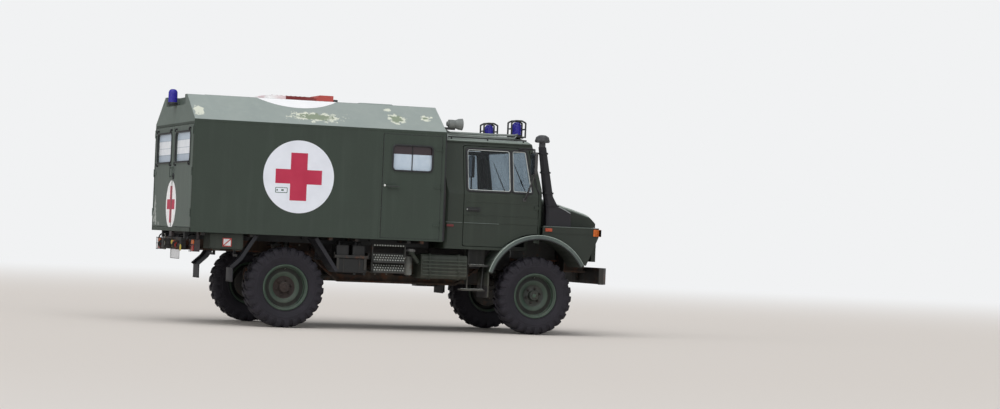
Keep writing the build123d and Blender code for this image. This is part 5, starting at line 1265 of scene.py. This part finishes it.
for y in (-0.560, 0.560):
    for shift in (-0.072, 0.072):
        loop = [(1.506, y + shift, 2.502), (1.5055, y + shift, 2.690), (1.554, y + shift, 2.7145),
                (1.646, y + shift, 2.7145), (1.6945, y + shift, 2.690), (1.694, y + shift, 2.502)]
        cages.append(rod(bent(loop, 0.012), 0.0112, 12, (0, 1, 0)))
        cages.append(rod([(1.500, y + shift, 2.508), (1.700, y + shift, 2.508)], 0.0100, 12, (0, 1, 0)))
    for x, z in ((1.560, 2.7145), (1.640, 2.7145), (1.506, 2.610), (1.694, 2.610)):
        cages.append(rod([(x, y - 0.072, z), (x, y + 0.072, z)], 0.0098, 12, (0, 0, 1)))
    cages.append(turned([(0.0, 0.0), (0.070, 0.0), (0.070, 0.026), (0.062, 0.032), (0.0, 0.032)], (1.600, y, 2.504),
                        "z", 36))
tray_foot = turned([(0.0, 0.0), (0.064, 0.0), (0.064, 0.026), (0.058, 0.034), (0.0, 0.034)], (-2.762, 0, 2.700), "z",
                   36)
add_piece("beacon_guards", joined(*cages, tray_foot), guard_black)
coat_node("roof_fittings", guard_black)
horn_grey = moulded("grey moulded horn", "#6A6E6C", "#7A7E7C", 0.5)
bell = [(0.0, 0.5500), (0.0300, 0.5510), (0.0310, 0.5740), (0.0530, 0.5750), (0.0545, 0.6000), (0.0530, 0.6500),
        (0.0500, 0.6560), (0.0690, 0.7060), (0.0720, 0.7400), (0.0750, 0.7500), (0.0690, 0.7500), (0.0500, 0.7160),
        (0.0, 0.7060)]
add_piece("horn_bell", turned(bell, (0.0, -0.900, 2.615), "x", 48), horn_grey)
conduits = [rod(bent(line, 0.03), radius, 12, (0, 1, 0)) for radius, line in
            ((0.013, [(0.472, -0.780, 2.560), (0.560, -0.780, 2.545), (0.640, -0.790, 2.505), (1.520, -0.700, 2.522),
                      (1.600, -0.600, 2.540)]),
             (0.010, [(0.472, -0.840, 2.520), (0.560, -0.850, 2.500), (0.640, -0.850, 2.484), (1.480, -0.830, 2.478),
                      (1.580, -0.62, 2.520)]),
             (0.010, [(0.472, 0.200, 2.600), (0.560, 0.200, 2.575), (0.700, 0.300, 2.545), (1.500, 0.520, 2.525),
                      (1.590, 0.560, 2.530)]))]
galvanised = worn_paint("galvanised conduit", "#7C837F", "#8D938E", "#A9AEA8", 0.45, grime=0.0)
add_piece("roof_conduits", joined(*conduits), galvanised)
hatch_cab = box_part((0.80, -0.30, 2.516), (1.36, 0.30, 2.548), 0.008, 0.05)
hatch_paint = worn_paint("chalked hatch paint", "#66736B", "#748078", "#929C94", 0.6, grime=0.0)
add_piece("cab_roof_hatch", hatch_cab, hatch_paint)

# Snorkel.
# Black moulded duct with a dusty round cap; a bolted flange joins it to its foot and two steel clips hold it to the
# windscreen pillar.
snorkel_black = moulded("black moulded duct, weathered", "#0C0B13", "#15131B", 0.55, 12.0, 0.2)
coat_node("snorkel", snorkel_black)
cap_ring = turned([(0.0, 2.436), (0.080, 2.437), (0.0915, 2.443), (0.0935, 2.466), (0.0810, 2.507), (0.0430, 2.531),
                   (0.0, 2.535)], (1.803, -0.985, 0), "z", 48)
cap_slots = [rod([(1.803 + 0.0920 * np.cos(t), -0.985 + 0.0920 * np.sin(t), 2.445),
                  (1.803 + 0.0935 * np.cos(t), -0.985 + 0.0935 * np.sin(t), 2.464)], 0.0025, 6,
                 (np.cos(t), np.sin(t), 0)) for t in np.arange(32) * np.pi / 16]
neck_tube = turned([(0.0415, 2.370), (0.0415, 2.438)], (1.8045, -0.985, 0), "z", 32)
add_piece("snorkel_cap", joined(cap_ring, neck_tube), moulded("dusty black cap", "#39393D", "#515353", 0.7, 18.0))
add_piece("snorkel_ribs", joined(*cap_slots), snorkel_black)
# a pale line along the top edge of the snorkel's foot: a painted highlight
foot_edge = rod(bent([(2.010, -1.046, 1.643), (2.118, -1.052, 1.598), (2.196, -1.054, 1.556)], 0.02), 0.0055, 8,
                (0, -1, 0))
add_piece("snorkel_foot_edge", foot_edge, moulded("moulding edge, pale for a painted highlight", "#8D9294", "#A2A6A8", 0.5))
bands = []
for z, x in ((2.300, 1.8205), (2.060, 1.8590), (1.800, 1.9025)):
    reach = 0.048 + (2.38 - z) * 0.0165
    loop = rounded(rect(-reach - 0.002, reach + 0.002, -reach - 0.002, reach + 0.002), 0.020)
    bands.append(carried(np.concatenate([loop + (x, -0.985), np.full((len(loop), 1), z)], 1),
                         rect(-0.002, 0.004, -0.011, 0.011), (0, 0, 1)))
flange = carried(np.concatenate([rounded(rect(1.872, 2.040, -1.052, -0.918), 0.02), np.full((20, 1), 1.640)], 1),
                 rect(-0.002, 0.010, -0.006, 0.006), (0, 0, 1))
add_piece("snorkel_bands", joined(*bands, flange), snorkel_black, flat=True)

# Front end.
# Bonnet, wings and grille panel of pressed steel, painted darker for shade, with painted highlights where they face the
# sky and along the arches and the bonnet's edges, and with rubber edging in the arches. The lamps sit in black bezels
# behind clear ribbed lenses, with amber indicators round the corners.
def sky_facing_highlight(material, place, colour):
    """Pale paint wherever a wing or the bonnet starts to face the sky: a painted highlight."""
    lit = add_node(material, "MapRange", values={1: 0.35, 2: 0.75, 4: 0.8}, links={0: facing_up(material)}).outputs[0]
    return painted_over(material, colour, lit, "#8E9991")


# darker shades than the cab's for painted shade on the front end, and pale paint where it faces up for a painted
# highlight
shaded_wing_green = body_green("olive green wing paint", sky_facing_highlight, ("#1A231B", "#212921", "#353D36"))
for name in ("wings", "bonnet", "grille"):
    coat_node(name, shaded_wing_green)


def arch_line(radius, y, count=80):
    """Line along the front arch: (radius cos a, y, radius sin a) about its middle, a from 29 to 162 degrees."""
    a = np.radians(np.linspace(29, 162, count))
    return np.stack([front_axle + radius * np.cos(a), a * 0 + y, 0.569 + radius * np.sin(a)], -1)


arch_edging = carried(arch_line(0.643, -1.1515, 60), rect(-0.006, 0.006, -0.004, 0.003), (0, -1, 0), False)
add_piece("arch_edging", both(arch_edging), seal_rubber)
flap_rubber = moulded("mud flap rubber, dusty", "#201F22", "#343230", 0.75, 12.0)
flaps = [box_part((1.101, -1.114, 0.448), (1.107, -0.706, 0.600), 0.002),
         box_part((-2.177, -1.112, 0.540), (-2.159, -0.798, 0.560), 0.002)]
add_piece("flap_ends", both(joined(*flaps)), flap_rubber)
lens_aged = moulded("amber lens gone red-brown", "#9A3A1E", "#A84626", 0.25, 40.0, 0.02)
lens_dark_red = moulded("red reflector, dirty", "#5C181A", "#6E2222", 0.3, 40.0, 0.02)
coat_node("mudguards", worn_paint("black enamelled mudguard", "#0F1018", "#161720", "#23242D", 0.55, grime=0.0))
for side, tag in ((-1, "right"), (1, "left")):
    corner_lens = joined(box_part((2.500, 1.101 * side, 1.274), (2.606, 1.112 * side, 1.361), 0.003),
                         box_part((2.574, 0.927 * side, 1.273), (2.606, 1.112 * side, 1.362), 0.004))
    add_piece("corner_indicator_" + tag, corner_lens, lens_amber)
    lens = turned([(0.0, 0.047), (0.061, 0.0455), (0.1045, 0.0315), (0.1050, 0.0)], (2.622, 0.660 * side, 1.150), "x",
                  64)
    add_piece("headlamp_lens_" + tag, lens, lens_clear)
    bowl = turned([(0.092, 0.004), (0.104, 0.012), (0.114, 0.012), (0.118, 0.004), (0.118, -0.010), (0.092, -0.010)],
                  (2.655, 0.660 * side, 1.150), "x", 48)
    add_piece("lamp_bezel_" + tag, bowl, dark_plastic)
    repeater = box_part((1.846, 1.106 * side, 1.314), (1.934, 1.127 * side, 1.354), 0.004)
    add_piece("side_repeater_" + tag, repeater, lens_aged)
    reflector = box_part((0.545, 1.079 * side, 1.326), (0.635, 1.089 * side, 1.354), 0.003)
    add_piece("side_reflector_" + tag, reflector, lens_dark_red)
coat_node("front_lamps", lens_clear)
mesh_bars = [rod([(2.628, y, 1.004), (2.628, y, 1.326)], 0.0022, 6, (1, 0, 0)) for y in np.arange(-0.51, 0.52, 0.030)]
add_piece("grille_bars", joined(*mesh_bars), dark_plastic)
bonnet_edge = box_part((2.655, -0.690, 1.386), (2.678, 0.690, 1.400), 0.003)
add_piece("bonnet_edge", bonnet_edge, shaded_wing_green, "bonnet", flat=True)
# pale paints for painted highlights along the arches' and the bonnet's edges
arch_edge_highlight = worn_paint("painted highlight along an arch's edge", "#8C9790", "#9AA59D", "#B4BDB6", 0.6, 0.2, grime=0.0)
bonnet_edge_highlight = worn_paint("painted highlight along the bonnet's edge", "#BCC4C0", "#CBD1CD", "#DDE1DE", 0.6, 0.2,
                        grime=0.0)
# a pale tube along each of the bonnet's top edges: a painted highlight
bonnet_bead = rod(bent([(1.862, -0.768, 1.7300), (2.300, -0.758, 1.6110), (2.560, -0.700, 1.5390),
                        (2.650, -0.680, 1.4560)], 0.05), 0.0095, 10, (0, 0, 1))
add_piece("bonnet_beads", both(bonnet_bead), bonnet_edge_highlight, "bonnet")
# a pale bead along each arch's edge: a painted highlight
add_piece("arch_beads", both(rod(arch_line(0.6885, -1.1455), 0.0065, 10, (0, -1, 0))), arch_edge_highlight)
# the arch's lip, lit on top: a lighter band of painted highlight over dusty paint
arch_face = carried(arch_line(0.6670, -1.1505), rect(-0.020, 0.020, -0.001, 0.0015), (0, -1, 0), False)
arch_face_highlight = worn_paint("wing lip paint, dusty and lighter for a painted highlight", "#48524F", "#55605C", "#78827D", 0.6, 0.3, grime=0.2)
add_piece("arch_faces", both(arch_face), arch_face_highlight)
add_piece("front_blank_plate", box_part((2.7705, 0.200, 0.715), (2.7735, 0.720, 0.825), 0.0008), plate_white,
          flat=True)
bar_bolts = bolts([(2.7695, y, z) for y in (-0.80, -0.55, 0.12, 0.80) for z in (0.70, 0.84)], (0, 1, 0), (0, 0, 1),
                  0.024, 0.008)
add_piece("bumper_bolts", bar_bolts, zinc, flat=True)

# Tank, battery tray, filter and reservoirs.
# The ribbed steel tank sits in two straps with rubber under them and a screw cap behind it. The battery tray carries
# two canisters; the filter can beside it is streaked white with spilt salts.
# darker shades like the cab's: painted shade on the tank, the lockers and their fittings
shaded_tank_green = body_green("olive green tank paint", None, ("#1B241C", "#212921", "#343C34"), scuffed=0.35)
coat_node("fuel_tank", shaded_tank_green)
coat_node("side_gear", worn_paint("chassis green, dirty", "#0A0C0D", "#111314", "#1E2021", 0.6, grime=0.0, rust=0.05))
cap = turned([(0.0, 0.036), (0.040, 0.034), (0.046, 0.026), (0.046, 0.004), (0.050, 0.0), (0.0, -0.004)],
             (0.108, -1.030, 0.992), "z", 32)
cap_grips = [box_part((0.108 - 0.05 * np.cos(t) - 0.006, -1.030 - 0.048 * np.sin(t) - 0.006, 0.994),
                      (0.108 - 0.05 * np.cos(t) + 0.006, -1.030 - 0.048 * np.sin(t) + 0.006, 1.016), 0.001)
             for t in np.arange(8) * np.pi / 4]
add_piece("tank_cap", joined(cap, *cap_grips), moulded("dusty grey tank cap", "#4A4A4C", "#6A6A68", 0.6, 14.0))
strap_rims = []
for x in (0.340, 0.720):
    loop = np.array([(-1.0725, 0.700), (-1.0725, 0.932), (-1.030, 0.9775), (-0.730, 0.9775), (-0.690, 0.932),
                     (-0.690, 0.700), (-0.730, 0.6545), (-1.030, 0.6545)])
    for shift in (0.001, 0.033):
        strap_rims.append(carried([(x + shift, y, z) for y, z in rounded(loop, 0.012, 3)], circle(0.0022, 6),
                                  (1, 0, 0)))
    strap_rims.append(rod([(x + 0.017, -1.078, 0.690), (x + 0.017, -1.078, 0.760)], 0.006, 10, (1, 0, 0)))
    strap_rims += [box_part((x + 0.002, -1.086, 0.752), (x + 0.032, -1.068, 0.770), 0.002)]
add_piece("tank_strap_rims", joined(*strap_rims), shaded_tank_green)
# the ribs are painted lighter than the tank: a painted highlight
rib = [(-0.010, -0.002), (0.010, -0.002), (0.006, 0.0050), (-0.006, 0.0050)]
tank_ribs = [carried([(0.258, -1.0705, z), (0.832, -1.0705, z)], rib, (0, -1, 0), False)
             for z in np.arange(0.712, 0.93, 0.044)]
add_piece("tank_ribs", joined(*tank_ribs), body_green("olive green tank paint, lighter for a painted highlight", None,
                                                      ("#2A332A", "#323B33", "#4C544C")),
          flat=True)
streaked = worn_paint("filter can, salt-streaked", "#3A3D3C", "#7E827E", "#B4B7B2", 0.6, 0.8, grime=0.3, rust=0.2)
can_shell = turned([(0.0, 0.235), (0.040, 0.233), (0.048, 0.224), (0.048, 0.150), (0.050, 0.145), (0.050, 0.128),
                    (0.048, 0.123), (0.048, 0.004), (0.040, -0.004), (0.0, -0.006)], (0.122, -0.900, 0.700), "z", 32)
add_piece("filter_shell", can_shell, streaked)
tray = [box_part((-0.885, -1.070, 0.883), (-0.440, -0.740, 0.8880), 0.001)]
tray += [box_part((x, -1.070, 0.888), (x + 0.006, -0.740, 0.955), 0.001) for x in (-0.885, -0.446)]
tray += [box_part((-0.885, -1.070, 0.888), (-0.440, -1.066, 0.918), 0.001),
         box_part((-0.885, -0.744, 0.888), (-0.440, -0.740, 0.955), 0.001)]
tray += [box_part((x, -1.064, 0.740), (x + 0.030, -1.056, 0.886), 0.001) for x in (-0.850, -0.500)]
add_piece("canister_tray", joined(*tray), chassis_black, flat=True)
cans = []
for x in (-0.770, -0.560):
    cans.append(box_part((x - 0.0865, -1.0365, 0.906), (x + 0.0865, -0.7985, 1.0415), 0.010, 0.03))
    cans.append(turned([(0.0, 0.050), (0.020, 0.048), (0.024, 0.040), (0.024, 0.0)], (x - 0.03, -0.960, 1.035), "z",
                       20))
    cans.append(rod(bent([(x - 0.055, -0.90, 1.038), (x - 0.055, -0.90, 1.075), (x + 0.055, -0.90, 1.075),
                          (x + 0.055, -0.90, 1.038)], 0.015), 0.007, 8, (0, 1, 0)))
add_piece("canisters", joined(*cans), worn_paint("canister paint, dusty", "#0B0C0E", "#121416", "#232526", 0.5, 0.15,
                                                 grime=0.0))
straps = [box_part((x - 0.0035, -1.060, 0.702), (x + 0.0035, -1.0535, 0.884), 0.001) for x in (-0.760, -0.560)]
add_piece("battery_box_ribs", joined(*straps), chassis_black, flat=True)
reservoir_bands = []
for y in (0.790, 1.000):
    for x in (-0.780, -0.500):
        a = np.linspace(0, 2 * np.pi, 41)[:-1]
        ring = np.stack([a * 0 + x, y + 0.096 * np.cos(a), 0.900 + 0.096 * np.sin(a)], -1)
        reservoir_bands.append(carried(ring, rect(-0.002, 0.0015, -0.012, 0.012), (1, 0, 0)))
    reservoir_bands.append(turned([(0.0, -0.234), (0.045, -0.230), (0.080, -0.218), (0.0955, -0.200), (0.0955, 0.200),
                                   (0.080, 0.218), (0.045, 0.230), (0.0, 0.234)], (-0.640, y, 0.900), "x", 48))
add_piece("reservoir_ends", joined(*reservoir_bands), worn_paint("reservoir paint", "#1E2120", "#282B28", "#45473F",
                                                                 0.6, grime=0.4))
air_pipes = [rod(bent([(-0.44, y, 0.90), (-0.38, y, 0.90), (-0.34, y * 0.8, 0.86), (-0.30, 0.42, 0.80),
                       (0.70, 0.40, 0.78)], 0.05), 0.007, 8, (0, 0, 1)) for y in (0.79, 1.0)]
air_pipes += [rod(bent([(-0.40, -0.52, 0.76), (-0.20, -0.50, 0.70), (0.10, -0.45, 0.745), (0.60, -0.40, 0.74),
                        (1.00, -0.42, 0.90)], 0.06), 0.011, 8, (0, 0, 1))]
add_piece("air_pipes", joined(*air_pipes), chassis_black)

# Axle fittings.
# Bolted covers on the drive heads and gear cases, and brake drums with cooling ribs, all under oily black paint.
fittings = []
head_line = np.array([(0.0, -0.153), (0.078, -0.152), (0.104, -0.134), (0.131, -0.106), (0.151, -0.068),
                      (0.160, -0.036), (0.1615, 0.0)])
head_line = np.concatenate([head_line, head_line[-2::-1] * (1, -1)])
for x, tube_end in ((front_axle, 0.655), (rear_axle, 0.755)):
    fittings.append(turned(head_line, (x, 0.060, tube_z), "y", 56))
    fittings.append(turned([(0.150, -0.010), (0.180, -0.010), (0.182, -0.007), (0.182, 0.007), (0.180, 0.010),
                            (0.150, 0.010)], (x, 0.078, tube_z), "y", 56))
    fittings.append(turned([(0.0630, -tube_end), (0.0630, tube_end)], (x, 0.0, tube_z), "y", 40))
    t = np.arange(14) * 2 * np.pi / 14
    fittings.append(bolts([(x + 0.171 * np.cos(angle), 0.088, tube_z + 0.171 * np.sin(angle)) for angle in t],
                          (-1, 0, 0), (0, 0, 1), 0.014, 0.010))
add_piece("axle_fittings", joined(*fittings), chassis_black)
for side, tag in ((1, "left"), (-1, "right")):
    for x, body, label in ((front_axle, "knuckle_" + tag, "front"), (rear_axle, "root", "rear")):
        case_bolts = [(x + dx, 0.747 * side, z) for dx, z in ((-0.09, 0.50), (0.09, 0.50), (-0.06, 0.43),
                                                              (0.06, 0.43), (-0.085, 0.60), (0.085, 0.60),
                                                              (0.0, 0.405), (-0.06, 0.70), (0.06, 0.70))]
        heads = bolts(case_bolts, (side, 0, 0), (0, 0, 1), 0.018, 0.010)
        ribs = [turned([(0.186, -0.006), (0.1935, -0.004), (0.1935, 0.004), (0.186, 0.006)],
                       (x, (0.845 + step * 0.014) * side, wheel_z), "y", 56) for step in range(3)]
        ribs.append(turned([(0.1890, 0.833 * side), (0.1890, 0.887 * side), (0.0, 0.8885 * side)], (x, 0.0, wheel_z),
                           "y", 56))
        add_piece(f"gear_case_bolts_{label}_{tag}", joined(heads, *ribs), cast_iron, body, flat=True)

# Lockers.
# Folded sheet boxes under the floor with drop-down lids; the right one carries a blank red and white sign.
for side, tag in ((-1, "right"), (1, "left")):
    coat_node("locker_lid_" + tag, shaded_tank_green)
    pins = [rod([(x - 0.045, 1.111 * side, 0.928), (x + 0.045, 1.111 * side, 0.928)], 0.006, 10, (0, 0, 1))
            for x in (-2.38, -2.13)]
    frame_rim = [box_part((x0, 1.1175 * side, z0), (x1, 1.1200 * side, z1), 0.0008)
                 for x0, x1, z0, z1 in ((-2.457, -2.057, 0.944, 0.952), (-2.457, -2.057, 1.106, 1.114),
                                        (-2.457, -2.449, 0.944, 1.114), (-2.065, -2.057, 0.944, 1.114))]
    add_piece("locker_hinges_" + tag, joined(*pins, *frame_rim), shaded_tank_green, "locker_lid_" + tag,
              flat=True)
sign_base = box_part((-2.305, -1.1200, 0.967), (-2.195, -1.1175, 1.069), 0.0006)
add_piece("locker_sign", sign_base, plate_white, "locker_lid_right", flat=True)
sign_frame = carried([(x, -1.1212, z) for x, z in rect(-2.300, -2.200, 0.972, 1.064)],
                     rect(-0.005, 0.005, -0.001, 0.0008), (0, -1, 0))
slash = carried([(-2.297, -1.1212, 0.975), (-2.203, -1.1212, 1.061)], rect(-0.006, 0.006, -0.001, 0.0008),
                (0, -1, 0), False)
add_piece("locker_sign_bands", joined(sign_frame, slash), stripe_red, "locker_lid_right", flat=True)
coat_node("lockers", shaded_tank_green)

# Side step and cab steps.
# Galvanised stringers with treads of punched sheet, whose raised rims grip the boot. The paint is worn off their
# edges.
step_steel = worn_paint("dirty galvanised step", "#191B1C", "#252726", "#585B56", 0.55, 0.4, grime=0.3, rust=0.1)
coat_node("side_step", step_steel)
coat_node("cab_steps", worn_paint("step enamel, scuffed", "#1B1D1E", "#272928", "#70726C", 0.5, 0.4, grime=0.3))
eye = turned([(0.0085, 0.0), (0.0095, 0.004), (0.0070, 0.0045), (0.0055, 0.001), (0.0, 0.0005)], (0, 0, 0), "z", 9)
tilt = np.radians(55.0)
step_v, step_w = np.array([0, np.cos(tilt), np.sin(tilt)]), np.array([0, -np.sin(tilt), np.cos(tilt)])
step_eyes = []
for z in (0.775, 0.900):
    for row in (-0.036, 0.0, 0.036):
        for x in np.arange(-0.375, 0.0, 0.0335) + (0.016 if row == 0.0 else 0):
            spot = np.array([x, -1.070, z]) + step_v * row + step_w * 0.007
            local = np.asarray(eye[0])
            step_eyes.append((spot + local[:, :1] * np.array([1, 0, 0]) + local[:, 1:2] * step_v
                              + local[:, 2:] * step_w, eye[1]))
top_eyes = [(np.asarray(eye[0])[:, (0, 2, 1)] * (1, -1, 1) + (x, -1.080, 1.0560), eye[1])
            for x in np.arange(-0.375, 0.0, 0.0335)]
add_piece("step_eyes", joined(*step_eyes, *top_eyes), moulded("worn tread rims, bare", "#969A94", "#A6AAA4", 0.4),
          "side_step")
tread_edges = []
for z in (0.775, 0.900):
    for row in (-0.065, 0.065):
        spot = np.array([0, -1.070, z]) + step_v * row
        tread_edges.append(rod([spot + (-0.394, 0, 0), spot + (0.016, 0, 0)], 0.0085, 10, step_w))
add_piece("step_tread_edges", joined(*tread_edges), step_steel, "side_step")
cab_eyes = []
for z, x0, x1, y0, y1 in ((0.860, 0.900, 1.090, -1.060, -0.900), (0.552, 0.810, 1.060, -1.070, -0.915)):
    for x in np.arange(x0, x1, 0.040):
        for y in np.arange(y0, y1, 0.040):
            cab_eyes.append(placed(eye, (x, y, z)))
add_piece("cab_step_eyes", both(joined(*cab_eyes)), moulded("worn step rims, bare", "#B0B4AE", "#BEC2BC", 0.4))

# Bearers, cowl, lips and aprons.
# Cross-bearers of folded steel carry the box, and a sheet cowl stands behind the grille. Black rubber lips fill the gap
# between box and cab, and dark rubber aprons fill gaps below the box and cab and between them: painted shade.
bearers = [box_part((x - 0.022, -1.120, 1.092), (x + 0.022, 1.120, 1.1285), 0.003)
           for x in (-2.55, -1.95, -0.95, -0.62, 0.05, 0.22)]
add_piece("box_bearers", joined(*bearers), chassis_black, flat=True)
cowl = joined(box_part((2.300, -0.600, 0.800), (2.306, 0.600, 1.120), 0.001),
              box_part((2.306, -0.380, 0.820), (2.420, 0.380, 0.826), 0.001))
add_piece("radiator_cowl", cowl, chassis_black, flat=True)
# black rubber strips in the gap at the box's front: painted shade
add_piece("box_front_lips", both(box_part((0.461, -1.1790, 1.140), (0.476, -1.1560, 2.470), 0.003)), seal_rubber,
          flat=True)
# dark rubber sheets in gaps that lie in shade: painted shade
aprons = [box_part((-0.950, 0.414, 0.870), (0.520, 0.420, 1.126), 0.001),
          box_part((0.540, 0.374, 0.800), (1.640, 0.380, 1.150), 0.001),
          carried([(0.500, 1.066, 1.140), (0.500, 1.066, 1.735), (0.500, 0.940, 2.390)],
                  rect(-0.027, 0.027, -0.003, 0.003), (0, 1, 0), False)]
add_piece("splash_aprons", both(joined(*aprons)), flap_rubber, flat=True)
